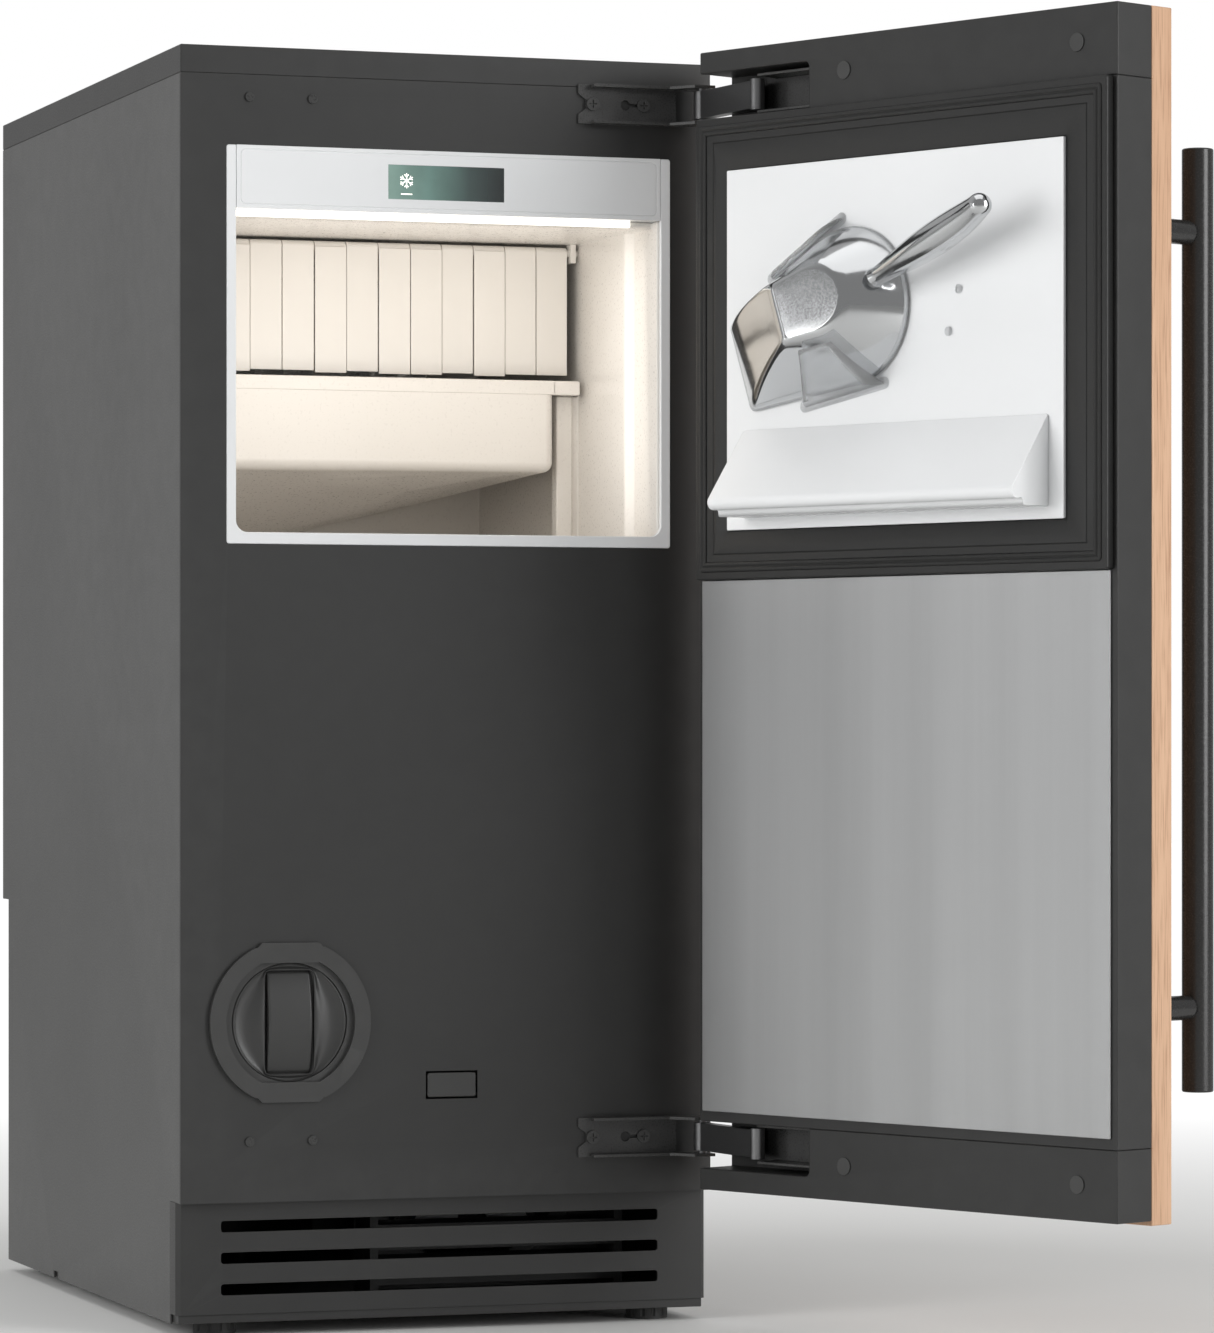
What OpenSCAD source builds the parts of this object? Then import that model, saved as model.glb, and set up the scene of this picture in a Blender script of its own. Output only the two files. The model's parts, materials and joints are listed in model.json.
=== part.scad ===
// Undercounter ice maker, shown with its panel-ready door swung open.
// Cabinet coordinates: x to the right from the left side, y back from the front face, z up from the floor.
// Door coordinates: x from the hinge edge to the free edge, y outwards from the inner face, z up from the floor.

/* [Cabinet] */
// Width of the cabinet and of the door
cab_w = 378; // [376:1:380]
// Height from the floor to the top of the cap
cab_h = 870; // [868:1:874]
// Depth of the upper body
cab_d = 540; // [535:1:560]
// How far the lower back steps in
back_step = 19; // [12:1:22]
// Height of the step in the back
step_z = 281; // [270:1:300]
// Height of the top cap's skirt
cap_h = 19; // [15:1:22]
// Thickness of the steel sheets
sheet_t = 2; // [1.5:0.1:2]

/* [Kick grille] */
// Top edge of the kick grille
kick_z1 = 91; // [90:1:92]
// Bottom edge of the kick grille
kick_z0 = 15; // [15:1:17]
// How far the grille is set back from the front face
kick_y = 10.8; // [9:0.1:11]
// Height of one grille slot
slot_h = 7.7; // [5:0.1:10]

/* [Ice bin] */
// Left edge of the liner's front frame
frame_x0 = 31.8; // [30:0.1:33]
// Right edge of the liner's front frame
frame_x1 = 348.6; // [347:0.1:350]
// Bottom edge of the liner's front frame
frame_z0 = 534.8; // [533:0.1:536]
// Top edge of the liner's front frame
frame_z1 = 803.7; // [800:0.1:806]
// Inside floor of the bin
bin_floor_z = 455; // [440:1:460]
// Inside back wall of the bin
bin_back_y = 392; // [390:1:395]

/* [Splash curtain] */
// Distance from one flap to the next
flap_pitch = 23.5; // [23.3:0.1:23.6]
// Length of a flap below its rod
flap_drop = 87.5; // [80:0.5:88]
// Distance of the rod behind the front face
rod_y = 160; // [158:1:162]
// Radius of the rod
rod_r = 2.5; // [2:0.1:3]

/* [Water filter] */
// Filter axis, from the left side
filter_x = 76; // [74:1:78]
// Filter axis, above the floor
filter_z = 212; // [210:1:214]
// Radius of the filter cartridge
cartridge_r = 34.5; // [32:0.5:35]

/* [Door] */
// Opening angle of the door
door_open = 114.5; // [90:0.5:114.5]
// Distance of the turning axis from the left side
pole_x = 380.07; // [380:0.01:380.2]
// Distance of the turning axis in front of the front face
pole_y = -45.41; // [-45.6:0.01:-45.2]
// Gap between the closed door's inner face and the front face
door_gap = 9; // [9:0.1:10]
// Thickness of the black door body
door_t = 33; // [32:1:34]
// Thickness of the wooden front panel
wood_t = 19; // [16:1:20]
// Bottom of the lower hinge bar
door_z0 = 97; // [96:1:98]
// Height of each hinge bar
bar_h = 46.5; // [46:0.5:47]
// How far the inner frame stands proud
frame_proud = 7; // [6:0.5:7]

/* [Handle] */
// Distance of the handle from the hinge edge
handle_s = 348; // [340:1:352]
// Radius of the handle bar
handle_r = 10.25; // [8:0.25:12]
// Length of the handle bar
handle_len = 612; // [560:1:640]
// Distance between the two posts
post_span = 502; // [400:1:520]
// Distance from the wood to the handle's centre
handle_off = 60; // [50:1:65]

/* [Hidden] */
$fn = 48;
door_n2 = door_t + wood_t;
handle_n = door_n2 + handle_off;
door_z1 = cab_h;
lower_bar_z1 = door_z0 + bar_h;
upper_bar_z0 = door_z1 - bar_h;

// Where a door point lies once the door has swung open about its axis.
function turned(v, a) = [v[0] * cos(a) - v[1] * sin(a), v[0] * sin(a) + v[1] * cos(a)];
function door_point(s, n) = [pole_x, pole_y]
    + turned([cab_w - s - pole_x, -door_gap - n - pole_y], door_open);
max_x = door_point(handle_s, handle_n)[0] + handle_r;
min_y = door_point(cab_w, 0)[1];
// The frame's origin is under the middle of the whole object with its door open.
origin = [max_x / 2, (min_y + cab_d) / 2, 0];

cap_z = cab_h - cap_h;
tray_z = 9;
tray_floor = 3;
comp_z = tray_z + tray_floor;
tray_y0 = 13;
low_back_y = cab_d - back_step;
foot_r = 14.5;
stem_r = 4;
run_gap = 0.06;
front_feet = [[34, 40], [cab_w - 33, 40]];
back_feet = [[34, cab_d - 50], [cab_w - 33, cab_d - 50]];

bin_x0 = 40;
bin_x1 = 340;
bin_deep_x1 = 334;
bin_wall = 3;
bin_top_z = 757;
housing_z0 = 761;
rod_z = 750.5;
flap_x0 = 43.4;
barrel_r = 4.2;
flap_t = 1.6;
// Which flaps hang a little in front of their neighbours.
flap_step = [0, 1, 0, 0, 1, 0, 1, 1, 0, 1, 0, 0];

display = [145.5, 228.2, 770.2, 793.6];
button = [173.3, 207.7, 159.3, 175.9];
button_gap = 1.2;
knob_r = 40;
recess_r = 45;
ring_r = 56.25;

hinge_zs = [839.5, 129.5];
bracket_h = 27;
pin_x = 366;
pin_y = -17;
pin_r = 3;
link_len = 78;
link_ratio = 0.786;
link_closed = 188.7;
link_rest = link_closed + link_ratio * door_open;
screw_xs = [291, 328];
plug_zs = [836, 132];
plug_xs = [48, 92];
pocket_s = 104;
pocket_n = 30;
pocket_h = 32;
pocket_r = 4;

panel_s0 = 33;
panel_s1 = 338.6;
shelf_s = [50, 326];
panel_z0 = 544;
panel_z1 = 787;
inner_z0 = 511;

scoop_s = 152;
scoop_z = 689;
scoop_tilt = 199.5;
scoop_rim = -9;
scoop_wall = 1.6;
// The bowl's rim and mouth, and the sloping flat that closes it: radii, distances and heights.
bowl_r = 52.6;
mouth_x = 110;
mouth_half = 32;
flat_x = -5;
flat_r = 23.7;
flat_z = 44;
front_x = 21;
front_half = 21.5;
front_z = 52;
handle_z = 480.5;
reservoir_x = [44, 310];
reservoir_y = [140, 388];
pump_at = [95, 350, 556];
fan_x = 240;
fan_z = 112;
shaft_r = 3;
coil_x = [150, 334];
shroud_y = 98;
// Places of the connections in the lower back sheet, as x and z, with their outer radii.
gland_at = [60, 90];
gland_r = 8;
valve_at = [205, 175];
valve_r = 10;
drain_at = [285, 60];
drain_r = 8;
stub_y = low_back_y + 1;
stub_end = cab_d - 4;
neck = 0.5;

// ---- placing and basic shapes ----

module in_cabinet() {
    translate(-origin) children();
}

module on_door() {
    in_cabinet() translate([pole_x, pole_y, 0]) rotate(door_open)
        translate([cab_w - pole_x, -door_gap - pole_y, 0]) rotate(180) children();
}

module box(x0, x1, y0, y1, z0, z1) {
    translate([x0, y0, z0]) cube([x1 - x0, y1 - y0, z1 - z0]);
}

module along_x(x0, x1) {
    translate([x0, 0, 0]) rotate([90, 0, 90]) linear_extrude(x1 - x0) children();
}

module along_y(y0, y1) {
    translate([0, y1, 0]) rotate([90, 0, 0]) linear_extrude(y1 - y0) children();
}

module rod_y_axis(x, z, r, y0, y1) {
    translate([x, y1, z]) rotate([90, 0, 0]) cylinder(r = r, h = y1 - y0);
}

module rod_x_axis(y, z, r, x0, x1) {
    translate([x0, y, z]) rotate([0, 90, 0]) cylinder(r = r, h = x1 - x0);
}

module round_rect(x0, x1, z0, z1, r) {
    translate([x0 + r, z0]) square([x1 - x0 - 2 * r, z1 - z0]);
    translate([x0, z0 + r]) square([x1 - x0, z1 - z0 - 2 * r]);
    for (x = [x0 + r, x1 - r], z = [z0 + r, z1 - r]) translate([x, z]) circle(r);
}

// ---- cabinet shell ----

module top_cap() {
    color("#3b3b3b") in_cabinet() difference() {
        box(0, cab_w, 0, cab_d, cap_z, cab_h);
        box(sheet_t, cab_w - sheet_t, sheet_t, cab_d - sheet_t, cap_z - 1, cab_h - sheet_t);
    }
}

module side_panels() {
    skirt_y = 28;
    skirt_z = 8;
    notch_y = 357;
    notch = [14, 5];
    color("#4a4b4c") in_cabinet() for (x = [0, cab_w - sheet_t])
        along_x(x, x + sheet_t) polygon([
            [sheet_t, kick_z1], [skirt_y, kick_z1], [skirt_y, skirt_z], [notch_y, skirt_z],
            [notch_y, skirt_z + notch[1]], [notch_y + notch[0], skirt_z + notch[1]],
            [notch_y + notch[0], skirt_z], [low_back_y, skirt_z], [low_back_y, step_z],
            [cab_d, step_z], [cab_d, cap_z], [sheet_t, cap_z]
        ]);
}

module rear_panels() {
    x0 = sheet_t;
    x1 = cab_w - sheet_t;
    louvre = [60, 5, 12];
    color("#9a9c9e") in_cabinet() {
        box(x0, x1, cab_d - sheet_t, cab_d, step_z, cap_z);
        box(x0, x1, low_back_y, cab_d - sheet_t, step_z, step_z + sheet_t);
        difference() {
            box(x0, x1, low_back_y - sheet_t, low_back_y, tray_z + 6, step_z);
            rod_y_axis(gland_at[0], gland_at[1], gland_r, low_back_y - 5, low_back_y + 5);
            rod_y_axis(valve_at[0], valve_at[1], valve_r + neck, low_back_y - 5, low_back_y + 5);
            rod_y_axis(drain_at[0], drain_at[1], drain_r + neck, low_back_y - 5, low_back_y + 5);
            for (x = [100, 250], i = [0 : 4])
                box(x, x + louvre[0], low_back_y - 5, low_back_y + 5,
                    210 + i * louvre[2], 210 + i * louvre[2] + louvre[1]);
        }
    }
}

module front_plate() {
    color("#2f3030") in_cabinet() {
        difference() {
            box(0, cab_w, 0, sheet_t, kick_z1, cap_z);
            along_y(-1, sheet_t + 1) round_rect(frame_x0, frame_x1, frame_z0, frame_z1, 2);
            rod_y_axis(filter_x, filter_z, 50, -1, sheet_t + 1);
            box(button[0] - button_gap, button[1] + button_gap, -1, sheet_t + 1,
                button[2] - button_gap, button[3] + button_gap);
            for (x = screw_xs, z = hinge_zs) rod_y_axis(x, z, 2.6, -1, sheet_t + 1);
            for (x = plug_xs, z = plug_zs) rod_y_axis(x, z, 2.2, -1, sheet_t + 1);
        }
        box(sheet_t, cab_w - sheet_t, sheet_t, tray_y0, kick_z1, kick_z1 + sheet_t);
    }
}

module base_tray() {
    wall = 2;
    color("#333434") in_cabinet() difference() {
        box(sheet_t, cab_w - sheet_t, tray_y0, low_back_y, tray_z, tray_z + 6);
        box(sheet_t + wall, cab_w - sheet_t - wall, tray_y0 + wall, low_back_y - wall, comp_z, comp_z + 9);
        for (p = concat(front_feet, back_feet))
            translate([p[0], p[1], 0]) cylinder(r = stem_r + run_gap, h = comp_z + 1);
    }
}

module kick_grille() {
    t = 2.5;
    chamfer = 3;
    skirt_y = 28;
    pitch = 21.3;
    top_drop = 16.8;
    slot_x0 = 31;
    slot_x1 = cab_w - 35;
    slot_r = 2;
    color("#353636") in_cabinet() difference() {
        translate([0, 0, kick_z0]) linear_extrude(kick_z1 - kick_z0) polygon([
            [0, skirt_y], [0, kick_y + chamfer], [chamfer, kick_y], [cab_w - chamfer, kick_y],
            [cab_w, kick_y + chamfer], [cab_w, skirt_y], [cab_w - t, skirt_y],
            [cab_w - t, kick_y + chamfer + 1], [cab_w - chamfer - 1, kick_y + t],
            [chamfer + 1, kick_y + t], [t, kick_y + chamfer + 1], [t, skirt_y]
        ]);
        for (i = [0 : 2], z = kick_z1 - top_drop - i * pitch)
            along_y(kick_y - 1, kick_y + t + 1)
                round_rect(slot_x0, slot_x1, z - slot_h / 2, z + slot_h / 2, slot_r);
    }
}

module foot(p, disc_h, r) {
    color("#262626") in_cabinet() translate([p[0], p[1], 0]) {
        difference() {
            cylinder(r = foot_r, h = disc_h);
            for (a = [0 : 30 : 330])
                rotate(a) translate([foot_r + 0.6, 0, 2]) cylinder(r = 1.6, h = disc_h);
        }
        cylinder(r = r, h = 24);
    }
}

module rear_feet() {
    for (p = back_feet) foot(p, tray_z, stem_r + run_gap);
}

module foot_left() { foot(front_feet[0], tray_z - 0.3, stem_r); }
module foot_right() { foot(front_feet[1], tray_z - 0.3, stem_r); }

// ---- ice bin ----

module bin_liner() {
    draft_y = 50;
    lip_y = 4;
    mouth_z = frame_z0 + 8;
    post_x = 316;
    post_y = 152;
    post_t = 12;
    post_top = 648;
    color("#f3eee6") in_cabinet() {
        difference() {
            box(bin_x0 - bin_wall, bin_x1 + bin_wall, lip_y, bin_back_y + bin_wall,
                bin_floor_z - bin_wall, housing_z0);
            translate([0, 0, bin_floor_z]) linear_extrude(bin_top_z - bin_floor_z) polygon([
                [bin_x0, lip_y + 3], [bin_x1, lip_y + 3], [bin_x1, draft_y],
                [bin_deep_x1, draft_y + 6], [bin_deep_x1, bin_back_y], [bin_x0, bin_back_y]
            ]);
            box(bin_x0, bin_x1, lip_y - 1, lip_y + 4, mouth_z, housing_z0 + 1);
            box(bin_x0, bin_x1, lip_y - 1, 14, bin_top_z - 1, housing_z0 + 1);
        }
        box(post_x, post_x + post_t, post_y, post_y + post_t, bin_floor_z, post_top);
        box(post_x + post_t, bin_deep_x1, post_y + 4, post_y + post_t, bin_floor_z, post_top);
    }
}

module liner_bezel() {
    rim = 7;
    color("#f7f7f5") in_cabinet() along_y(0, 4) difference() {
        round_rect(frame_x0, frame_x1, frame_z0, frame_z1, 2);
        round_rect(frame_x0 + rim, frame_x1 - rim, frame_z0 + rim + 1, frame_z1 + 30, 8);
    }
}

module insulation() {
    color("#e9d9a8") in_cabinet() difference() {
        box(sheet_t, cab_w - sheet_t, sheet_t, 430, 425, cap_z - 8);
        box(frame_x0 - 1, frame_x1 + 1, sheet_t - 1, bin_back_y + bin_wall, bin_floor_z - bin_wall,
            frame_z1 + 1);
    }
}

module control_housing() {
    x0 = frame_x0 + 7.2;
    x1 = frame_x1 - 7.2;
    line = 2.6;
    color("#f4f5f5") in_cabinet() difference() {
        box(x0, x1, 0, 58, housing_z0, frame_z1);
        box(x0 + 3, x1 - 3, 8, 59, housing_z0 + 3, frame_z1 - 3);
        box(display[0], display[1], -1, 3, display[2], display[3]);
        along_y(-1, 0.5) difference() {
            round_rect(x0 + line, x1 - line, housing_z0 + line, frame_z1 - line, 4);
            round_rect(x0 + line + 0.7, x1 - line - 0.7, housing_z0 + line + 0.7, frame_z1 - line - 0.7, 3.3);
        }
    }
}

module display_window() {
    color("#4d5d57") in_cabinet() box(display[0], display[1], 0.4, 3, display[2], display[3]);
}

module led_bar() {
    color("#ffffff") in_cabinet() box(42, 322, 8, 13.5, bin_top_z - 0.5, housing_z0);
}

module curtain_rod() {
    color("#f0ece4") in_cabinet() {
        rod_x_axis(rod_y, rod_z, rod_r, bin_x0, bin_deep_x1);
        difference() {
            box(327, 331, rod_y - 7, rod_y + 5, rod_z - 7, bin_top_z);
            rod_x_axis(rod_y, rod_z, rod_r, 326, 332);
        }
    }
}

// One hinged strip: a barrel on the rod and a thin blade below it.
module flap(i) {
    gap = 0.6;
    x0 = flap_x0 + i * flap_pitch + gap / 2;
    x1 = x0 + flap_pitch - gap;
    blade_y = rod_y - barrel_r - flap_step[i] * 1.3;
    color("#f5f0e8") in_cabinet() difference() {
        union() {
            rod_x_axis(rod_y, rod_z, barrel_r, x0, x1);
            box(x0, x1, blade_y, blade_y + flap_t, rod_z - flap_drop - flap_step[i] * 1.5, rod_z);
            box(x0, x1, blade_y, rod_y - rod_r, rod_z - 3, rod_z);
        }
        rod_x_axis(rod_y, rod_z, rod_r + run_gap, x0 - 1, x1 + 1);
    }
}

module flap_01() { flap(0); }
module flap_02() { flap(1); }
module flap_03() { flap(2); }
module flap_04() { flap(3); }
module flap_05() { flap(4); }
module flap_06() { flap(5); }
module flap_07() { flap(6); }
module flap_08() { flap(7); }
module flap_09() { flap(8); }
module flap_10() { flap(9); }
module flap_11() { flap(10); }
module flap_12() { flap(11); }

// ---- ice making parts ----

// Trough shape: level front edge, underside falling towards the back left corner.
module trough(inset) {
    bead = 1;
    x0 = reservoir_x[0] + inset;
    x1 = reservoir_x[1] - inset;
    y0 = reservoir_y[0] + inset;
    y1 = reservoir_y[1] - inset;
    corners = [
        [x0, y0, 660], [x1, y0, 660], [x0, y1, 660], [x1, y1, 660],
        [x0, y0, 593 + inset], [x1, y0, 593 + inset], [x1, y1, 588 + inset],
        [x0, y1, 522 + inset], [x0 + 70, y1, 522 + inset]
    ];
    hull() for (c = corners) translate(c - [bead / 2, bead / 2, 0]) cube(bead);
}

module reservoir() {
    rim_z = [648, 658];
    color("#f4efe7") in_cabinet() {
        difference() {
            trough(0);
            trough(2.5);
            box(0, cab_w, 100, 400, rim_z[1], 680);
        }
        box(309, 329, 138, 150, rim_z[0], rim_z[1]);
        box(reservoir_x[0], 311, 138, 141, rim_z[0], rim_z[1]);
    }
}

module evaporator() {
    cols = 10;
    rows = 4;
    x0 = 62;
    z0 = 672;
    cell = 22;
    wall = 1.5;
    pitch_z = 18;
    depth = 30;
    back = 3;
    color("#c9ccd0") in_cabinet() difference() {
        box(x0, x0 + cols * cell + wall, bin_back_y - depth, bin_back_y, z0, z0 + rows * pitch_z + wall);
        for (i = [0 : cols - 1], j = [0 : rows - 1])
            box(x0 + i * cell + wall, x0 + (i + 1) * cell, bin_back_y - depth - 1, bin_back_y - back,
                z0 + j * pitch_z + wall, z0 + (j + 1) * pitch_z);
    }
}

module circulation_pump() {
    body_h = 26;
    neck_h = 12;
    riser_h = 150;
    wall = 2;
    color("#2b2d30") in_cabinet() translate(pump_at) {
        cylinder(r = 20, h = body_h);
        translate([0, 0, body_h]) cylinder(r = 8, h = neck_h);
        translate([0, 0, body_h + neck_h]) difference() {
            cylinder(r = 6, h = riser_h);
            translate([0, 0, -1]) cylinder(r = 6 - wall, h = riser_h - 1);
        }
    }
}

// ---- water filter ----

module filter_bezel() {
    proud = 3.5;
    flat = 50.6;
    tab_z = 53.8;
    tab_x = 20;
    recess_flat = 40.3;
    color("#363737") in_cabinet() difference() {
        translate([filter_x, 0, filter_z]) union() {
            along_y(-proud, 0) {
                intersection() {
                    circle(ring_r, $fn = 96);
                    square([2 * ring_r + 2, 2 * flat], center = true);
                }
                polygon([[-tab_x, tab_z], [tab_x, tab_z], [tab_x + 3, flat], [tab_x + 3, -flat],
                    [tab_x, -tab_z], [-tab_x, -tab_z], [-tab_x - 3, -flat], [-tab_x - 3, flat]]);
            }
            along_y(-0.5, sheet_t) circle(50, $fn = 96);
        }
        translate([filter_x, 0, filter_z]) along_y(-proud - 1, 0.3) intersection() {
            circle(recess_r, $fn = 96);
            square([2 * recess_r + 2, 2 * recess_flat], center = true);
        }
        rod_y_axis(filter_x, filter_z, recess_flat, -5, 5);
    }
}

module filter_housing() {
    color("#3f4144") in_cabinet() difference() {
        union() {
            rod_y_axis(filter_x, filter_z, 50, sheet_t, 8);
            rod_y_axis(filter_x, filter_z, 41, 7, 290);
            rod_y_axis(filter_x + 20, filter_z, 5, 289, 305);
            rod_y_axis(filter_x - 20, filter_z, 5, 289, 305);
        }
        rod_y_axis(filter_x, filter_z, knob_r + 0.4, 0, 8);
        rod_y_axis(filter_x, filter_z, cartridge_r + run_gap, 0, 270);
    }
}

module filter_cartridge() {
    color("#e8e8e6") in_cabinet() difference() {
        rod_y_axis(filter_x, filter_z, cartridge_r, 6.4, 255);
        rod_y_axis(filter_x, filter_z, 5 + run_gap, 6, 26);
    }
}

module filter_knob() {
    grip = [15.5, 34.7];
    color("#343535") in_cabinet() {
        rod_y_axis(filter_x, filter_z, knob_r, 0.6, 6);
        rod_y_axis(filter_x, filter_z, 5, 5.9, 25);
        translate([filter_x, 0, filter_z]) along_y(-3.2, 0.7) round_rect(-grip[0], grip[0], -grip[1], grip[1], 3);
    }
}

module power_button() {
    color("#303131") in_cabinet() box(button[0], button[1], -0.6, 6, button[2], button[3]);
}

// ---- machine compartment ----

module compressor() {
    middle = [140, 420];
    r = 68;
    foot_h = 18;
    body_h = 110;
    dome_h = 26;
    color("#1f2022") in_cabinet() translate([middle[0], middle[1], comp_z]) {
        translate([0, 0, foot_h]) cylinder(r = r, h = body_h);
        translate([0, 0, foot_h + body_h]) cylinder(r1 = r, r2 = r - 24, h = dome_h);
        for (a = [30 : 120 : 270])
            rotate(a) translate([r - 12, 0, 0]) cylinder(r = 9, h = foot_h);
    }
}

module condenser() {
    fin_gap = 6;
    header = 6;
    y0 = 60;
    top_z = 200;
    color("#2b2d2f") in_cabinet() difference() {
        box(coil_x[0], coil_x[1], y0, shroud_y - 2, comp_z, top_z);
        for (z = [comp_z + 8 : 2 * fin_gap : top_z - 10])
            box(coil_x[0] + header, coil_x[1] - header, y0 - 1, shroud_y, z, z + fin_gap);
    }
}

module fan_shroud() {
    ring_r0 = 78;
    t = 3;
    top_z = 205;
    ring_y = 130;
    motor_r = 28;
    motor_y = [ring_y - 4, 165];
    color("#2a2c2e") in_cabinet() {
        difference() {
            union() {
                box(coil_x[0], coil_x[1], shroud_y, shroud_y + t, comp_z, top_z);
                rod_y_axis(fan_x, fan_z, ring_r0 + t, shroud_y, ring_y);
            }
            rod_y_axis(fan_x, fan_z, ring_r0, shroud_y - 1, ring_y + 1);
        }
        rod_y_axis(fan_x, fan_z, motor_r, motor_y[0], motor_y[1]);
        rod_y_axis(fan_x, fan_z, shaft_r, shroud_y + 4, motor_y[0] + 1);
        for (a = [45 : 90 : 315])
            translate([fan_x, 0, fan_z]) rotate([0, a, 0])
                box(motor_r - 2, ring_r0 + 1, motor_y[0], ring_y - 0.5, -4, 4);
    }
}

module fan_blade() {
    hub_r = 16;
    hub_y = shroud_y + 15;
    blade_r = 70;
    blade_pitch = 32;
    color("#d9dadb") in_cabinet() translate([fan_x, 0, fan_z]) difference() {
        union() {
            rod_y_axis(0, 0, hub_r, hub_y - 9, hub_y + 9);
            for (a = [0 : 60 : 300])
                rotate([0, a, 0]) translate([0, hub_y, 0]) rotate([blade_pitch, 0, 0])
                    box(hub_r - 4, blade_r, -1, 1, -13, 13);
        }
        rod_y_axis(0, 0, shaft_r + run_gap, hub_y - 13, hub_y + 17);
    }
}

module drain_pump() {
    half = 30;
    body_y = low_back_y - 31;
    top_z = 92;
    color("#3a4a5c") in_cabinet() {
        box(drain_at[0] - half, drain_at[0] + half, body_y - 2 * half, body_y, comp_z, top_z);
        difference() {
            union() {
                rod_y_axis(drain_at[0], drain_at[1], drain_r - neck, body_y, stub_y);
                rod_y_axis(drain_at[0], drain_at[1], drain_r, stub_y, stub_end);
            }
            rod_y_axis(drain_at[0], drain_at[1], drain_r - 2, body_y + 5, cab_d);
        }
    }
}

module inlet_valve() {
    half = 20;
    body_y = low_back_y - 16;
    color("#5b6066") in_cabinet() {
        box(valve_at[0] - half, valve_at[0] + half, body_y - 35, body_y, valve_at[1] - half, valve_at[1] + 30);
        rod_y_axis(valve_at[0], valve_at[1], valve_r - neck, body_y - 1, stub_y);
        rod_y_axis(valve_at[0], valve_at[1], valve_r, stub_y, stub_end);
    }
}

module cord_gland() {
    color("#151515") in_cabinet() difference() {
        union() {
            rod_y_axis(gland_at[0], gland_at[1], gland_r, low_back_y - sheet_t, low_back_y);
            rod_y_axis(gland_at[0], gland_at[1], gland_r + 4, low_back_y, low_back_y + 6);
            rod_y_axis(gland_at[0], gland_at[1], gland_r + 4, low_back_y - sheet_t - 6, low_back_y - sheet_t);
        }
        rod_y_axis(gland_at[0], gland_at[1], 4.5, low_back_y - 20, low_back_y + 20);
    }
}

// ---- hinges ----

module hinge_brackets() {
    t = 2;
    half = bracket_h / 2;
    x0 = 281;
    notch = [5.5, 7, 3];
    keyhole = [315, 3.4, 1.1];
    color("#2a2a2a") in_cabinet() for (zc = hinge_zs) difference() {
        union() {
            translate([0, 0, zc]) along_y(-t, 0) polygon([
                [x0, half], [x0, notch[1]], [x0 + notch[0], notch[2]], [x0 + notch[0], -notch[2]],
                [x0, -notch[1]], [x0, -half], [352, -half], [352, half]
            ]);
            for (z = [zc - half, zc + half - t]) {
                box(290, 352, -9, -t + 0.1, z, z + t);
                translate([0, 0, z]) linear_extrude(t) polygon([
                    [345, 0], [345, -9], [pin_x - 8, pin_y - 7], [pin_x + 7, pin_y - 7],
                    [pin_x + 7, pin_y + 6], [352, 0]
                ]);
            }
        }
        for (x = screw_xs) rod_y_axis(x, zc, 2.6, -5, 5);
        rod_y_axis(keyhole[0], zc, keyhole[1], -5, 5);
        box(keyhole[0], screw_xs[1], -5, 5, zc - keyhole[2], zc + keyhole[2]);
        translate([pin_x, pin_y, zc - 30]) cylinder(r = pin_r + run_gap, h = 60);
    }
}

module front_fasteners() {
    color("#1d1d1d") in_cabinet() {
        for (x = screw_xs, z = hinge_zs) {
            difference() {
                rod_y_axis(x, z, 4.6, -4, -2);
                box(x - 2.6, x + 2.6, -5, -3, z - 0.5, z + 0.5);
                box(x - 0.5, x + 0.5, -5, -3, z - 2.6, z + 2.6);
            }
            rod_y_axis(x, z, 2.5, -2, sheet_t);
        }
        for (x = plug_xs, z = plug_zs) {
            rod_y_axis(x, z, 3.2, -1.4, 0);
            rod_y_axis(x, z, 2.2, 0, sheet_t);
        }
    }
}

module hinge_links() {
    half = 9.5;
    pin_half = 13.6;
    color("#5a5b5c") in_cabinet() for (zc = hinge_zs)
        translate([pin_x, pin_y, zc]) rotate(link_rest) {
            translate([0, 0, -half]) cylinder(r = 6, h = 2 * half);
            box(0, link_len, -4, 4, -half, half);
            translate([link_len, 0, -half - 1]) cylinder(r = 5, h = 2 * half + 2);
            translate([0, 0, -pin_half]) cylinder(r = pin_r, h = 2 * pin_half);
        }
}

module hinge_cups() {
    t = 2;
    half = 13.5;
    color("#3a3a3a") on_door() for (zc = hinge_zs) {
        box(38, 100, pocket_n - 3, pocket_n, zc - half, zc + half);
        for (z = [zc - half, zc + half - t])
            box(46, 98, 9, pocket_n - 3, z, z + t);
    }
}

// ---- door ----

module door_shell() {
    wall = 2;
    rail = 8;
    color("#232424") on_door() difference() {
        box(0, cab_w, 0, door_t, lower_bar_z1, upper_bar_z0);
        box(rail, cab_w - rail, -1, door_t - wall, lower_bar_z1 + rail, upper_bar_z0 - rail);
    }
}

// Solid end bars; each has a pocket at the hinge edge for its folding hinge.
module hinge_bars() {
    color("#202121") on_door() {
        difference() {
            box(0, cab_w, 0, door_t, upper_bar_z0, door_z1);
            along_y(-1, pocket_n)
                round_rect(-pocket_r, pocket_s, upper_bar_z0 - pocket_r, upper_bar_z0 + pocket_h, pocket_r);
        }
        difference() {
            box(0, cab_w, 0, door_t, door_z0, lower_bar_z1);
            along_y(-1, pocket_n)
                round_rect(-pocket_r, pocket_s, lower_bar_z1 - pocket_h, lower_bar_z1 + pocket_r, pocket_r);
        }
    }
}

module bar_plugs() {
    color("#1b1b1b") on_door() for (s = [137, 344])
        for (z = [(upper_bar_z0 + door_z1) / 2, (door_z0 + lower_bar_z1) / 2])
            rod_y_axis(s, z, 6, -0.8, 0);
}

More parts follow.
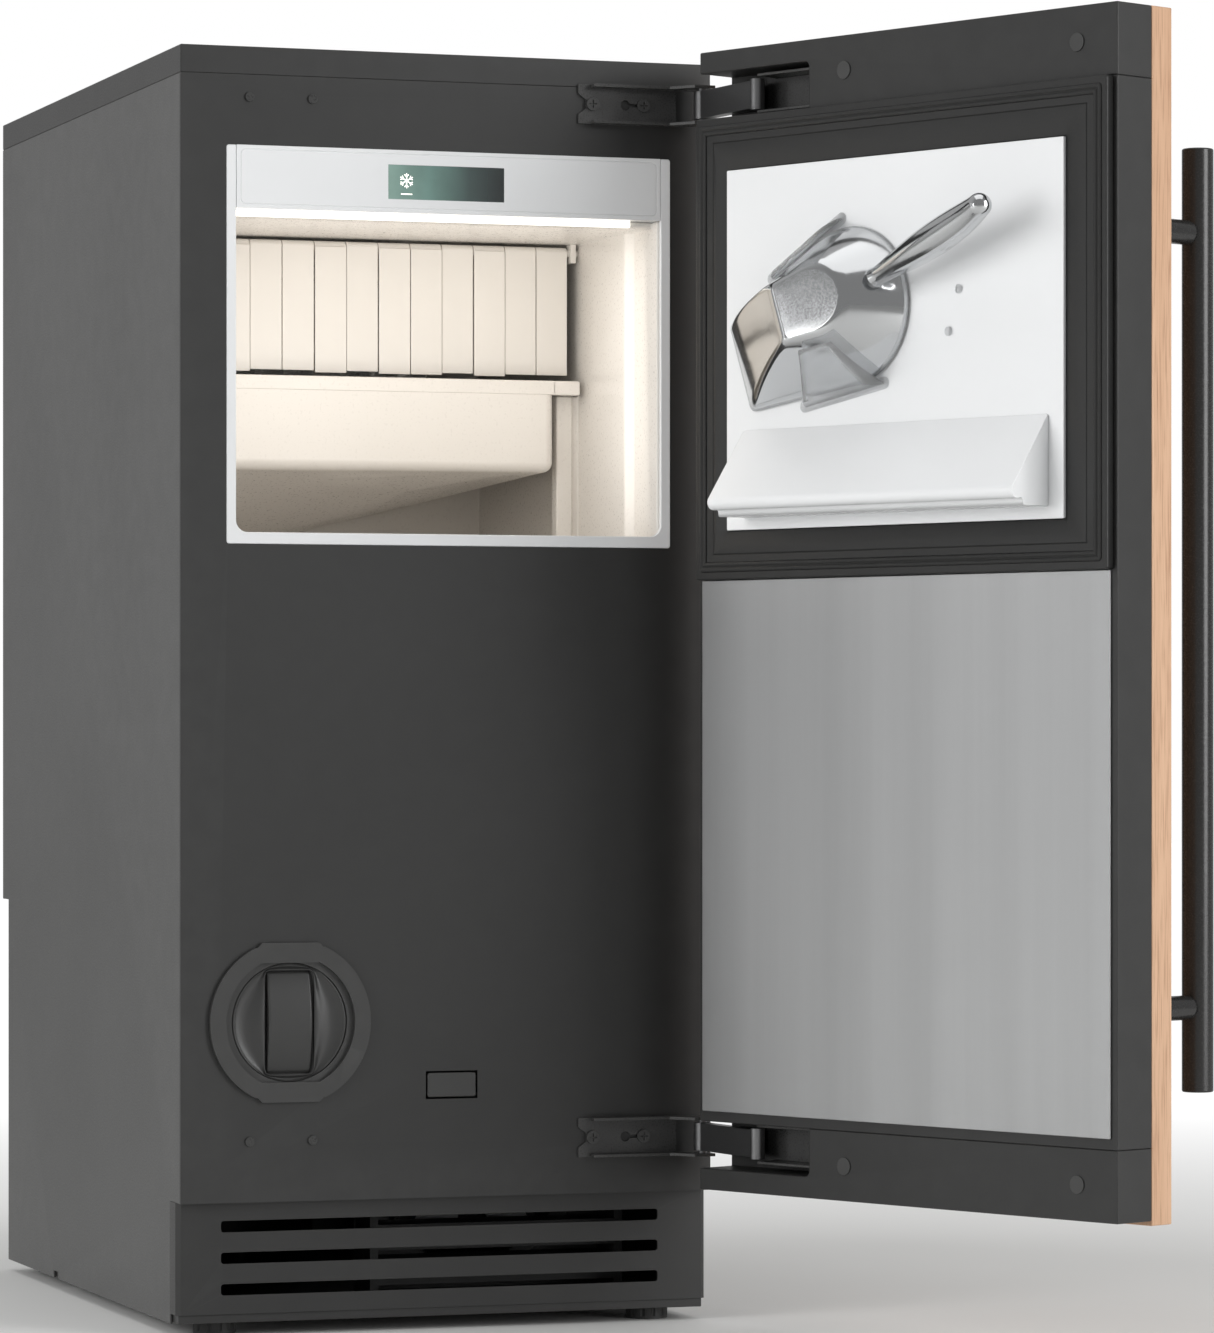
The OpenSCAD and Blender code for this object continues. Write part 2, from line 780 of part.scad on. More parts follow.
module inner_frame() {
    edge = 3;
    color("#1f2020") on_door() {
        along_y(-frame_proud, 0) difference() {
            translate([edge, inner_z0]) square([cab_w - 2 * edge, upper_bar_z0 - inner_z0]);
            translate([panel_s0 - 0.01, panel_z0 - 0.01])
                square([panel_s1 - panel_s0 + 0.02, panel_z1 - panel_z0 + 0.02]);
        }
    }
}

module gasket() {
    w = 7;
    s0 = 7;
    s1 = cab_w - 7;
    z0 = inner_z0 + 5;
    z1 = upper_bar_z0 - 5;
    color("#161616") on_door() along_y(-frame_proud - 1.2, -frame_proud) difference() {
        round_rect(s0, s1, z0, z1, 3);
        round_rect(s0 + w, s1 - w, z0 + w, z1 - w, 3);
    }
}

module liner_panel() {
    color("#f4f5f6") on_door() box(panel_s0, panel_s1, -frame_proud, 0, panel_z0, panel_z1);
}

module deflector_shelf() {
    p = frame_proud;
    color("#f7f8f8") on_door() along_x(shelf_s[0], shelf_s[1]) polygon([
        [-p, 611], [-p - 1.5, 610.5], [-40.5, 566.5], [-42, 563], [-41.5, 559],
        [-39, 556.5], [-36, 556], [-30, 558], [-30, 552], [-p, 552]
    ]);
}

module lower_panel() {
    color("#9b9da0") on_door() box(3.7, cab_w - 5, -1.5, 0, 150.6, 510.7);
}

module wood_panel() {
    color("#d9a877") on_door() box(0, cab_w, door_t, door_n2, door_z0 - 3, door_z1);
}

module handle_bar() {
    color("#1c1c1d") on_door() translate([handle_s, handle_n, handle_z - handle_len / 2])
        cylinder(r = handle_r, h = handle_len);
}

module handle_posts() {
    post_r = 8;
    color("#1c1c1d") on_door() for (k = [-0.5, 0.5]) difference() {
        rod_y_axis(handle_s, handle_z + k * post_span, post_r, door_n2, handle_n);
        translate([handle_s, handle_n, handle_z + k * post_span - 20]) cylinder(r = handle_r, h = 40);
    }
}

// ---- ice scoop and its holder ----

// Scoop coordinates: x towards the mouth, y across, z away from the door's liner.
module at_scoop() {
    on_door() translate([scoop_s, scoop_rim, scoop_z]) rotate([90, 0, 0]) rotate(scoop_tilt) children();
}

module scoop_solid(inset) {
    base = inset > 0 ? -1 : 0;
    hull() {
        translate([0, 0, base]) cylinder(r = bowl_r - inset, h = 1, $fn = 40);
        translate([mouth_x - inset - 2, inset - mouth_half, base]) cube([2, 2 * (mouth_half - inset), 1]);
        translate([flat_x, 0, flat_z - inset - 1]) cylinder(r = flat_r - inset, h = 1, $fn = 32);
        translate([front_x - inset - 2, inset - front_half, front_z - inset - 1])
            cube([2, 2 * (front_half - inset), 1]);
    }
}

// Height and radius of the handle along its length.
function grip_rise(t) = 21 + 18 * pow(t, 3) + 4 * sin(180 * t);
function grip_radius(t) = 6.2 + 5 * pow(sin(150 * t), 1.5);

module scoop() {
    steps = 8;
    start = 45;
    length = 116;
    color("#b9bcc0") at_scoop() {
        difference() {
            scoop_solid(0);
            scoop_solid(scoop_wall);
        }
        for (i = [0 : steps - 1]) hull() for (k = [i, i + 1])
            translate([-start - length * k / steps, 0, grip_rise(k / steps)])
                sphere(r = grip_radius(k / steps), $fn = 16);
    }
}

// Clear cradle: two cheeks on rails that lean in over the scoop's sides, and two spare studs.
module scoop_holder() {
    rail_r = 4;
    rail_h = 1.2;
    cheek_r = 0.8;
    cheek_top = 47;
    foot = [[63, 46], [-10, 58.5]];
    crest = [[13, 29], [-16, 34.5]];
    stud_r = 3;
    liner_face = scoop_rim + frame_proud;
    color("#e6ebee") {
        at_scoop() for (k = [-1, 1]) {
            hull() for (p = foot)
                translate([p[0], k * p[1], liner_face]) cylinder(r = rail_r, h = rail_h);
            hull() {
                for (p = foot) translate([p[0], k * p[1], liner_face]) cylinder(r = cheek_r, h = 1);
                for (p = crest) translate([p[0], k * p[1], cheek_top - 1]) cylinder(r = cheek_r, h = 1);
            }
        }
        on_door() for (p = [[248, 695], [239, 668]])
            rod_y_axis(p[0], p[1], stud_r, -frame_proud - 2, -frame_proud);
    }
}

top_cap();
side_panels();
rear_panels();
front_plate();
base_tray();
kick_grille();
bin_liner();
liner_bezel();
insulation();
control_housing();
display_window();
led_bar();
filter_bezel();
filter_housing();
front_fasteners();
hinge_brackets();
reservoir();
curtain_rod();
evaporator();
circulation_pump();
drain_pump();
inlet_valve();
cord_gland();
compressor();
condenser();
fan_shroud();
rear_feet();
hinge_links();
door_shell();
hinge_bars();
bar_plugs();
inner_frame();
gasket();
liner_panel();
deflector_shelf();
lower_panel();
wood_panel();
handle_bar();
handle_posts();
hinge_cups();
scoop_holder();
scoop();
filter_cartridge();
filter_knob();
fan_blade();
power_button();
foot_left();
foot_right();
flap_01();
flap_02();
flap_03();
flap_04();
flap_05();
flap_06();
flap_07();
flap_08();
flap_09();
flap_10();
flap_11();
flap_12();
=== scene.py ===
import json
import math

import bmesh
import bpy
import numpy as np
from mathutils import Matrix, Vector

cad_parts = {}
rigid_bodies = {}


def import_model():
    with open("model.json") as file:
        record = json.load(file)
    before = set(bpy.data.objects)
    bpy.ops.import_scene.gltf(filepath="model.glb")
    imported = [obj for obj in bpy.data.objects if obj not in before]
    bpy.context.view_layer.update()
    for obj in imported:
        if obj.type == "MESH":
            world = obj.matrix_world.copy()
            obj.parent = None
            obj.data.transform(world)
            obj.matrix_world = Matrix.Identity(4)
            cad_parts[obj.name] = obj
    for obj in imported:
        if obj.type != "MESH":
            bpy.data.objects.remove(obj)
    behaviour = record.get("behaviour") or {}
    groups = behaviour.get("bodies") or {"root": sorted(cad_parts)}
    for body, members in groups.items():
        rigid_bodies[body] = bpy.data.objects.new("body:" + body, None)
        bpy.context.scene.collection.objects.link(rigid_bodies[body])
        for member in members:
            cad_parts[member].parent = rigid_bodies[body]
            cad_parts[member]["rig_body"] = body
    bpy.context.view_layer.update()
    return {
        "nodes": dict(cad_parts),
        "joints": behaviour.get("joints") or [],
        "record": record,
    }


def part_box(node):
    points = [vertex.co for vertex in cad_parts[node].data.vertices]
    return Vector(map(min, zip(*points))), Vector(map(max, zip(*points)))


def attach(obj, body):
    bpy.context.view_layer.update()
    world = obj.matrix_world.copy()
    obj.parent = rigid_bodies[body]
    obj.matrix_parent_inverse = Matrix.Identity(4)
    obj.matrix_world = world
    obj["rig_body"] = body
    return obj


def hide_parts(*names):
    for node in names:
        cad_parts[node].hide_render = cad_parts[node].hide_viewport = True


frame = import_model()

MM = 0.001
NODES = frame["nodes"]

# ---- camera, world and lights ----

LENS = 152.0
SENSOR = 36.0
CAMERA_PLACE = (-1.24814, -3.73382, 0.4087)
CAMERA_YAW = -18.8
CAMERA_SHIFT = 0.0484
WARM_LIGHT = (1.0, 0.94, 0.86)


def make_camera():
    data = bpy.data.cameras.new("camera")
    data.lens = LENS
    data.sensor_width = SENSOR
    data.shift_y = CAMERA_SHIFT
    camera = bpy.data.objects.new("camera", data)
    camera.location = CAMERA_PLACE
    camera.rotation_euler = (math.radians(90), 0, math.radians(CAMERA_YAW))
    bpy.context.scene.collection.objects.link(camera)
    bpy.context.scene.camera = camera


def make_world(front=0.3, back=0.5, backdrop=1.0):
    """A plain studio whose light grows from front to back, before a white backdrop."""
    world = bpy.data.worlds.new("studio")
    bpy.context.scene.world = world
    world.use_nodes = True
    nodes, links = world.node_tree.nodes, world.node_tree.links
    shader = nodes["Background"]
    direction = nodes.new("ShaderNodeTexCoord")
    split = nodes.new("ShaderNodeSeparateXYZ")
    ramp = nodes.new("ShaderNodeMapRange")
    ramp.interpolation_type = "SMOOTHSTEP"
    ramp.inputs["From Min"].default_value = -0.35
    ramp.inputs["From Max"].default_value = 0.35
    ramp.inputs["To Min"].default_value = front
    ramp.inputs["To Max"].default_value = back
    links.new(direction.outputs["Generated"], split.inputs[0])
    links.new(split.outputs["Y"], ramp.inputs["Value"])
    path = nodes.new("ShaderNodeLightPath")
    choose = nodes.new("ShaderNodeMix")
    choose.inputs[3].default_value = backdrop
    links.new(path.outputs["Is Camera Ray"], choose.inputs[0])
    links.new(ramp.outputs[0], choose.inputs[2])
    links.new(choose.outputs[0], shader.inputs["Strength"])
    shader.inputs["Color"].default_value = (1, 1, 1, 1)


def area_light(name, place, aim, size, power, colour=(1, 1, 1), glossy=True):
    data = bpy.data.lights.new(name, "AREA")
    data.shape = "RECTANGLE"
    data.size, data.size_y = size
    data.energy = power
    data.color = colour
    lamp = bpy.data.objects.new(name, data)
    lamp.location = place
    facing = np.array(aim, float) - np.array(place, float)
    lamp.rotation_euler = aimed(facing)
    lamp.visible_glossy = glossy
    bpy.context.scene.collection.objects.link(lamp)


def aimed(direction):
    """Turning that points an object's -Z axis along the direction."""
    x, y, z = direction / np.linalg.norm(direction)
    return (math.acos(-z), 0, math.atan2(-x, y) if abs(x) + abs(y) > 1e-9 else 0)


def make_floor(size=30.0):
    """A flat grid of points, 9 by 9, centred under the machine."""
    steps = np.linspace(-size / 2, size / 2, 9)
    x, y = np.meshgrid(steps, steps, indexing="ij")
    verts, faces = surface(np.stack([x, y, np.zeros_like(x)], -1))
    mesh = bpy.data.meshes.new("floor")
    mesh.from_pydata(verts.tolist(), [], faces)
    mesh.materials.append(floor_paint())
    floor = bpy.data.objects.new("floor", mesh)
    bpy.context.scene.collection.objects.link(floor)


# ---- where things are: the cabinet's corner and the open door's own axes ----

UP = np.array([0.0, 0.0, 1.0])


def mesh_points(node):
    data = NODES[node].data
    points = np.empty(len(data.vertices) * 3, np.float32)
    data.vertices.foreach_get("co", points)
    return points.reshape(-1, 3).astype(float)


class Seat:
    """An origin and three axes; pieces are worked out in these and then placed."""

    def __init__(self, origin, axes):
        self.origin = np.array(origin, float)
        self.axes = np.array(axes, float)

    def place(self, points):
        return points @ self.axes + self.origin

    def extent(self, node):
        """Lowest and highest corner of a node along this seat's axes."""
        local = (mesh_points(node) - self.origin) @ self.axes.T
        return local.min(0), local.max(0)

    def moved(self, shift, axes):
        return Seat(self.place(np.array([shift], float))[0], np.array(axes, float) @ self.axes)


def cabinet_seat():
    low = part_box("front_plate")[0]
    return Seat((low.x, low.y, 0), np.eye(3))


def door_seat():
    """x from the hinge edge to the free edge, y outwards from the inner face."""
    swing = next(j for j in frame["joints"] if j["name"] == "door_swing")
    turn = math.radians(-swing["range_deg"][0])
    along = np.array([-math.cos(turn), -math.sin(turn), 0])
    out = np.array([math.sin(turn), -math.cos(turn), 0])
    points = mesh_points("hinge_bars")
    origin = along * (points @ along).min() + out * (points @ out).min()
    return Seat(origin, [along, out, UP])


CABINET = cabinet_seat()
DOOR = door_seat()

# ---- surfaces ----


def surface(grid, wrap_rows=False, wrap_cols=False, caps=()):
    """Quads over a grid of points, rows by columns; caps closes the first or last row with one face."""
    rows, cols = grid.shape[:2]
    index = np.arange(rows * cols).reshape(rows, cols)
    faces = [index[0][::-1].tolist()] if "first" in caps else []
    faces += [index[-1].tolist()] if "last" in caps else []
    if wrap_rows:
        index = np.vstack([index, index[:1]])
    if wrap_cols:
        index = np.hstack([index, index[:, :1]])
    quads = np.stack([index[:-1, :-1], index[1:, :-1], index[1:, 1:], index[:-1, 1:]], -1)
    return grid.reshape(-1, 3), faces + quads.reshape(-1, 4).tolist()


def joined(*parts):
    verts, faces, count = [], [], 0
    for part_verts, part_faces in parts:
        verts.append(part_verts)
        faces += [[i + count for i in face] for face in part_faces]
        count += len(part_verts)
    return np.vstack(verts), faces


def rect_ring(low, high, radius, inset, depth, steps=6):
    """Rounded rectangle in x and z at one depth y: corner arcs of radius less inset, pulled in by inset."""
    low, high = np.array(low) + inset, np.array(high) - inset
    r = max(radius - inset, 0.00005)
    turn = np.linspace(0, math.pi / 2, steps + 1)
    angle = (np.arange(4)[:, None] * math.pi / 2 + turn).ravel()
    right = np.repeat([1, 0, 0, 1], steps + 1)
    top = np.repeat([1, 1, 0, 0], steps + 1)
    x = np.where(right, high[0] - r, low[0] + r) + r * np.cos(angle)
    z = np.where(top, high[1] - r, low[1] + r) + r * np.sin(angle)
    return np.stack([x, np.full_like(x, depth), z], -1)


def rounded(inset, depth, radius, way=1, steps=4):
    """Quarter-round edge as (inset, depth) pairs, from the side wall to the face."""
    turn = np.linspace(0, math.pi / 2, steps + 1)
    return [(inset + radius * (1 - math.cos(t)), depth + way * radius * (1 - math.sin(t)))
            for t in turn]


def plate(low, high, radius, back, front, edge):
    """Plate in x and z with quarter-round front edges; a rounded rectangle carried along the edge profile."""
    way = 1 if back > front else -1
    profile = [(0, back)] + rounded(0, front, edge, way)
    rings = [rect_ring(low, high, radius, i, d) for i, d in profile]
    return surface(np.stack(rings), wrap_cols=True, caps=("first", "last"))


def lathe(profile, segments=48):
    """Profile of (radius, height) pairs turned about y."""
    profile = np.array(profile, float)
    angle = np.arange(segments) * 2 * math.pi / segments
    radius = np.repeat(profile[:, :1], segments, 1)
    height = np.repeat(profile[:, 1:], segments, 1)
    grid = np.stack([radius * np.cos(angle), height, radius * np.sin(angle)], -1)
    return surface(grid, wrap_cols=True, caps=("first", "last"))


def tube(path, radii, segments=24):
    """Circles of the given radii carried along a path, square to it; both ends closed."""
    path, radii = np.array(path, float), np.array(radii, float)
    along = np.gradient(path, axis=0)
    along /= np.linalg.norm(along, axis=1)[:, None]
    side = np.cross(along, [0, 1, 0])
    side /= np.linalg.norm(side, axis=1)[:, None]
    other = np.cross(along, side)
    angle = np.arange(segments) * 2 * math.pi / segments
    ring = (side[:, None] * np.cos(angle)[None, :, None] + other[:, None] * np.sin(angle)[None, :, None])
    return surface(path[:, None] + ring * radii[:, None, None], wrap_cols=True, caps=("first", "last"))


def shifted(part, shift):
    return part[0] + np.array(shift), part[1]


# ---- making pieces ----


def finish_mesh(mesh, smooth_angle):
    shape = bmesh.new()
    shape.from_mesh(mesh)
    bmesh.ops.remove_doubles(shape, verts=shape.verts, dist=1e-6)
    bmesh.ops.recalc_face_normals(shape, faces=shape.faces)
    shape.to_mesh(mesh)
    shape.free()
    mesh.shade_smooth()
    mesh.set_sharp_from_angle(angle=math.radians(smooth_angle))


def settle(piece, body, finish, replaces):
    """Gives a piece its finish, its body and the CAD nodes that it stands for."""
    piece.data.materials.clear()
    piece.data.materials.append(MATERIALS[finish])
    bpy.context.scene.collection.objects.link(piece)
    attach(piece, body)
    for node in replaces:
        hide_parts(node)
    return piece


def make_piece(name, part, seat, body, finish, replaces=(), smooth_angle=35):
    mesh = bpy.data.meshes.new(name)
    mesh.from_pydata(seat.place(part[0]).tolist(), [], part[1])
    finish_mesh(mesh, smooth_angle)
    piece = bpy.data.objects.new(name, mesh)
    even_normals(piece)
    return settle(piece, body, finish, replaces)


def even_normals(piece):
    """Flat faces keep their own normal, so only the rounded edges shade round."""
    piece.modifiers.new("even_normals", "WEIGHTED_NORMAL").weight = 100


def soften(node, finish, width=0.6, segments=2):
    """A copy of a CAD node's shape with every sharp edge rounded by width in millimetres."""
    mesh = NODES[node].data.copy()
    mesh.name = "soft_" + node
    shape = bmesh.new()
    shape.from_mesh(mesh)
    bmesh.ops.remove_doubles(shape, verts=shape.verts, dist=1e-6)
    bmesh.ops.dissolve_limit(shape, angle_limit=math.radians(0.5), verts=shape.verts, edges=shape.edges)
    shape.to_mesh(mesh)
    shape.free()
    mesh.shade_smooth()
    piece = bpy.data.objects.new("soft_" + node, mesh)
    bevel = piece.modifiers.new("round_edges", "BEVEL")
    bevel.width = width * MM
    bevel.segments = segments
    bevel.limit_method = "ANGLE"
    bevel.angle_limit = math.radians(32)
    even_normals(piece)
    return settle(piece, NODES[node]["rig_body"], finish, [node])


# ---- shader groups ----


def new_group(name, inputs, outputs):
    group = bpy.data.node_groups.new(name, "ShaderNodeTree")
    for label, kind, value in inputs:
        socket = group.interface.new_socket(label, in_out="INPUT", socket_type=kind)
        if value is not None:
            socket.default_value = value
    for label, kind in outputs:
        group.interface.new_socket(label, in_out="OUTPUT", socket_type=kind)
    return group, group.nodes.new("NodeGroupInput"), group.nodes.new("NodeGroupOutput")


def add_noise(group, vector, scale, detail=3.0, scale_link=None):
    noise = group.nodes.new("ShaderNodeTexNoise")
    noise.inputs["Scale"].default_value = scale
    noise.inputs["Detail"].default_value = detail
    group.links.new(vector, noise.inputs["Vector"])
    if scale_link is not None:
        group.links.new(scale_link, noise.inputs["Scale"])
    return noise.outputs[0]


def add_math(group, operation, *values):
    node = group.nodes.new("ShaderNodeMath")
    node.operation = operation
    for socket, value in zip(node.inputs, values):
        if isinstance(value, (int, float)):
            socket.default_value = value
        else:
            group.links.new(value, socket)
    return node.outputs[0]


def add_range(group, value, low, high, to_low=0.0, to_high=1.0):
    node = group.nodes.new("ShaderNodeMapRange")
    for label, number in (("From Min", low), ("From Max", high), ("To Min", to_low), ("To Max", to_high)):
        node.inputs[label].default_value = number
    group.links.new(value, node.inputs["Value"])
    return node.outputs[0]


def build_surface_grain():
    """Broad mottling, fine speckle and their sum as a height, on stretched object coordinates."""
    group, start, end = new_group(
        "surface_grain",
        [("Vector", "NodeSocketVector", None), ("Broad", "NodeSocketFloat", 6.0),
         ("Fine", "NodeSocketFloat", 900.0)],
        [("Tone", "NodeSocketFloat"), ("Speckle", "NodeSocketFloat"), ("Height", "NodeSocketFloat")])
    broad = add_noise(group, start.outputs["Vector"], 6, 4, start.outputs["Broad"])
    fine = add_noise(group, start.outputs["Vector"], 900, 2, start.outputs["Fine"])
    group.links.new(add_range(group, broad, 0.3, 0.7), end.inputs["Tone"])
    group.links.new(add_range(group, fine, 0.3, 0.7), end.inputs["Speckle"])
    group.links.new(add_math(group, "MULTIPLY_ADD", broad, 0.3, fine), end.inputs["Height"])
    return group


def build_painted_edge_highlight():
    """A painted highlight mask, white on the outermost edges, found from pointiness and broken up by a fine
    noise.
    """
    group, start, end = new_group(
        "painted_edge_highlight", [("Vector", "NodeSocketVector", None), ("Amount", "NodeSocketFloat", 0.5)],
        [("Mask", "NodeSocketFloat")])
    geometry = group.nodes.new("ShaderNodeNewGeometry")
    edge = add_range(group, geometry.outputs["Pointiness"], 0.51, 0.6)
    patch = add_range(group, add_noise(group, start.outputs["Vector"], 60, 3), 0.35, 0.7, 0.4, 1.0)
    broken = add_math(group, "MULTIPLY", edge, patch)
    group.links.new(add_math(group, "MULTIPLY", broken, start.outputs["Amount"]), end.inputs["Mask"])
    return group


def build_wood_grain():
    """Growth bands bent by noise, fine pores along the grain, and a height from both."""
    group, start, end = new_group(
        "wood_grain", [("Vector", "NodeSocketVector", None)],
        [("Band", "NodeSocketFloat"), ("Pore", "NodeSocketFloat"), ("Height", "NodeSocketFloat")])
    stretch = group.nodes.new("ShaderNodeMapping")
    stretch.inputs["Scale"].default_value = (38, 38, 1.6)
    group.links.new(start.outputs["Vector"], stretch.inputs["Vector"])
    pores = group.nodes.new("ShaderNodeMapping")
    pores.inputs["Scale"].default_value = (900, 900, 26)
    group.links.new(start.outputs["Vector"], pores.inputs["Vector"])
    band = add_noise(group, stretch.outputs[0], 1.0, 5)
    pore = add_noise(group, pores.outputs[0], 1.0, 3)
    group.links.new(add_range(group, band, 0.35, 0.65), end.inputs["Band"])
    group.links.new(add_range(group, pore, 0.5, 0.75), end.inputs["Pore"])
    group.links.new(add_math(group, "MULTIPLY_ADD", pore, -0.6, band), end.inputs["Height"])
    return group


SURFACE_GRAIN = build_surface_grain()
PAINTED_EDGE_HIGHLIGHT = build_painted_edge_highlight()
WOOD_GRAIN = build_wood_grain()


# ---- finishes ----


def new_material(name, stretch=(1, 1, 1)):
    """A material with its shader and object coordinates, stretched."""
    material = bpy.data.materials.new(name)
    material.use_nodes = True
    tree = material.node_tree
    shader = tree.nodes["Principled BSDF"]
    coordinates = tree.nodes.new("ShaderNodeTexCoord")
    mapping = tree.nodes.new("ShaderNodeMapping")
    mapping.inputs["Scale"].default_value = stretch
    tree.links.new(coordinates.outputs["Object"], mapping.inputs["Vector"])
    return material, tree, shader, mapping.outputs[0]


def add_group(tree, group, vector, **values):
    node = tree.nodes.new("ShaderNodeGroup")
    node.node_tree = group
    tree.links.new(vector, node.inputs["Vector"])
    for label, value in values.items():
        node.inputs[label].default_value = value
    return node


def mix_colour(tree, factor, first, second):
    """Colour between two, which are plain colours or links."""
    node = tree.nodes.new("ShaderNodeMix")
    node.data_type = "RGBA"
    tree.links.new(factor, node.inputs[0])
    for socket, colour in ((node.inputs[6], first), (node.inputs[7], second)):
        if isinstance(colour, tuple):
            socket.default_value = (*colour, 1)
        else:
            tree.links.new(colour, socket)
    return node.outputs[2]


def add_bump(tree, shader, height, strength, distance):
    bump = tree.nodes.new("ShaderNodeBump")
    bump.inputs["Strength"].default_value = strength
    bump.inputs["Distance"].default_value = distance * MM
    tree.links.new(height, bump.inputs["Height"])
    tree.links.new(bump.outputs[0], shader.inputs["Normal"])


def grained(name, dark, light, rough, spread=0.06, broad=6.0, fine=900.0, bump=0.25, depth=0.05,
            metallic=0.0, stretch=(1, 1, 1), edge_highlight=0.0, edge_highlight_colour=None, coat=0.0, anisotropic=0.0):
    """Finish whose tone and gloss drift over the surface, with a fine grain and a painted highlight on the
    outer edges.
    """
    material, tree, shader, vector = new_material(name, stretch)
    grain = add_group(tree, SURFACE_GRAIN, vector, Broad=broad, Fine=fine)
    colour = mix_colour(tree, grain.outputs["Tone"], dark, light)
    # Painted highlight: the outer edges are mixed towards a lighter colour, as if lit.
    if edge_highlight:
        edge = add_group(tree, PAINTED_EDGE_HIGHLIGHT, vector, Amount=edge_highlight)
        colour = mix_colour(tree, edge.outputs["Mask"], colour, edge_highlight_colour)
    tree.links.new(colour, shader.inputs["Base Color"])
    gloss = add_range(tree, grain.outputs["Speckle"], 0, 1, rough - spread, rough + spread)
    tree.links.new(gloss, shader.inputs["Roughness"])
    add_bump(tree, shader, grain.outputs["Height"], bump, depth)
    shader.inputs["Metallic"].default_value = metallic
    shader.inputs["Coat Weight"].default_value = coat
    shader.inputs["Anisotropic"].default_value = anisotropic
    return material


def grey(value):
    return (value, value, value * 0.985)


def black_paint(name, tone=0.018, rough=0.42, edge_highlight=0.35):
    # The edge colour, 2.6 times the paint's tone, is a painted highlight on the outer edges.
    return grained(name, grey(tone * 0.9), grey(tone * 1.1), rough, edge_highlight=edge_highlight, edge_highlight_colour=grey(tone * 2.6))


def white_moulding(name, tone, rough=0.3):
    return grained(name, tuple(t * 0.97 for t in tone), tone, rough, spread=0.04, broad=4, fine=500,
                   bump=0.03, depth=0.02)


def bare_metal(name, tone, rough, **extra):
    return grained(name, tuple(t * 0.9 for t in tone), tone, rough, metallic=1.0, **extra)


def beech(name):
    material, tree, shader, vector = new_material(name)
    grain = add_group(tree, WOOD_GRAIN, vector)
    ground = mix_colour(tree, grain.outputs["Band"], (0.50, 0.285, 0.165), (0.66, 0.42, 0.27))
    pores = mix_colour(tree, grain.outputs["Pore"], ground, (0.38, 0.20, 0.11))
    tree.links.new(pores, shader.inputs["Base Color"])
    tree.links.new(add_range(tree, grain.outputs["Band"], 0, 1, 0.42, 0.55), shader.inputs["Roughness"])
    add_bump(tree, shader, grain.outputs["Height"], 0.3, 0.12)
    return material


def chrome(name):
    return bare_metal(name, (0.62, 0.63, 0.64), 0.12, spread=0.03, bump=0.04, depth=0.02, fine=700.0)


def clear_plastic(name):
    material, tree, shader, vector = new_material(name)
    grain = add_group(tree, SURFACE_GRAIN, vector, Broad=8.0, Fine=400.0)
    tree.links.new(mix_colour(tree, grain.outputs["Tone"], (0.93, 0.94, 0.95), (0.97, 0.975, 0.98)),
                   shader.inputs["Base Color"])
    tree.links.new(add_range(tree, grain.outputs["Speckle"], 0, 1, 0.2, 0.26), shader.inputs["Roughness"])
    add_bump(tree, shader, grain.outputs["Height"], 0.02, 0.02)
    shader.inputs["Transmission Weight"].default_value = 0.85
    shader.inputs["IOR"].default_value = 1.12
    return material


def glowing(name, colour, strength, rough=0.4):
    material, tree, shader, vector = new_material(name)
    grain = add_group(tree, SURFACE_GRAIN, vector, Broad=20.0, Fine=300.0)
    shade = mix_colour(tree, grain.outputs["Tone"], tuple(c * 0.96 for c in colour), colour)
    tree.links.new(shade, shader.inputs["Base Color"])
    tree.links.new(shade, shader.inputs["Emission Color"])
    shader.inputs["Emission Strength"].default_value = strength
    shader.inputs["Roughness"].default_value = rough
    return material


def display_glass(name):
    """Dark glass whose green backlight fades from left to right."""
    material, tree, shader, vector = new_material(name)
    low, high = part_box("display_window")
    split = tree.nodes.new("ShaderNodeSeparateXYZ")
    tree.links.new(vector, split.inputs[0])
    fade = add_range(tree, split.outputs["X"], low.x, high.x)
    ramp = tree.nodes.new("ShaderNodeValToRGB")
    stops = [(0.0, (0.16, 0.24, 0.21)), (0.35, (0.10, 0.17, 0.15)), (0.7, (0.035, 0.05, 0.048)),
             (1.0, (0.012, 0.013, 0.014))]
    while len(ramp.color_ramp.elements) < len(stops):
        ramp.color_ramp.elements.new(0.5)
    for element, (place, colour) in zip(ramp.color_ramp.elements, stops):
        element.position = place
        element.color = (*colour, 1)
    tree.links.new(fade, ramp.inputs[0])
    grain = add_group(tree, SURFACE_GRAIN, vector, Broad=40.0, Fine=2000.0)
    shade = mix_colour(tree, grain.outputs["Tone"], ramp.outputs[0], (0.03, 0.045, 0.04))
    mixed = mix_colour(tree, add_range(tree, grain.outputs["Tone"], 0, 1, 0, 0.25), ramp.outputs[0], shade)
    tree.links.new(mixed, shader.inputs["Base Color"])
    tree.links.new(mixed, shader.inputs["Emission Color"])
    shader.inputs["Emission Strength"].default_value = 0.7
    shader.inputs["Roughness"].default_value = 0.08
    shader.inputs["Coat Weight"].default_value = 1.0
    return material


FLOOR_FADE = (0.6, 2.2)


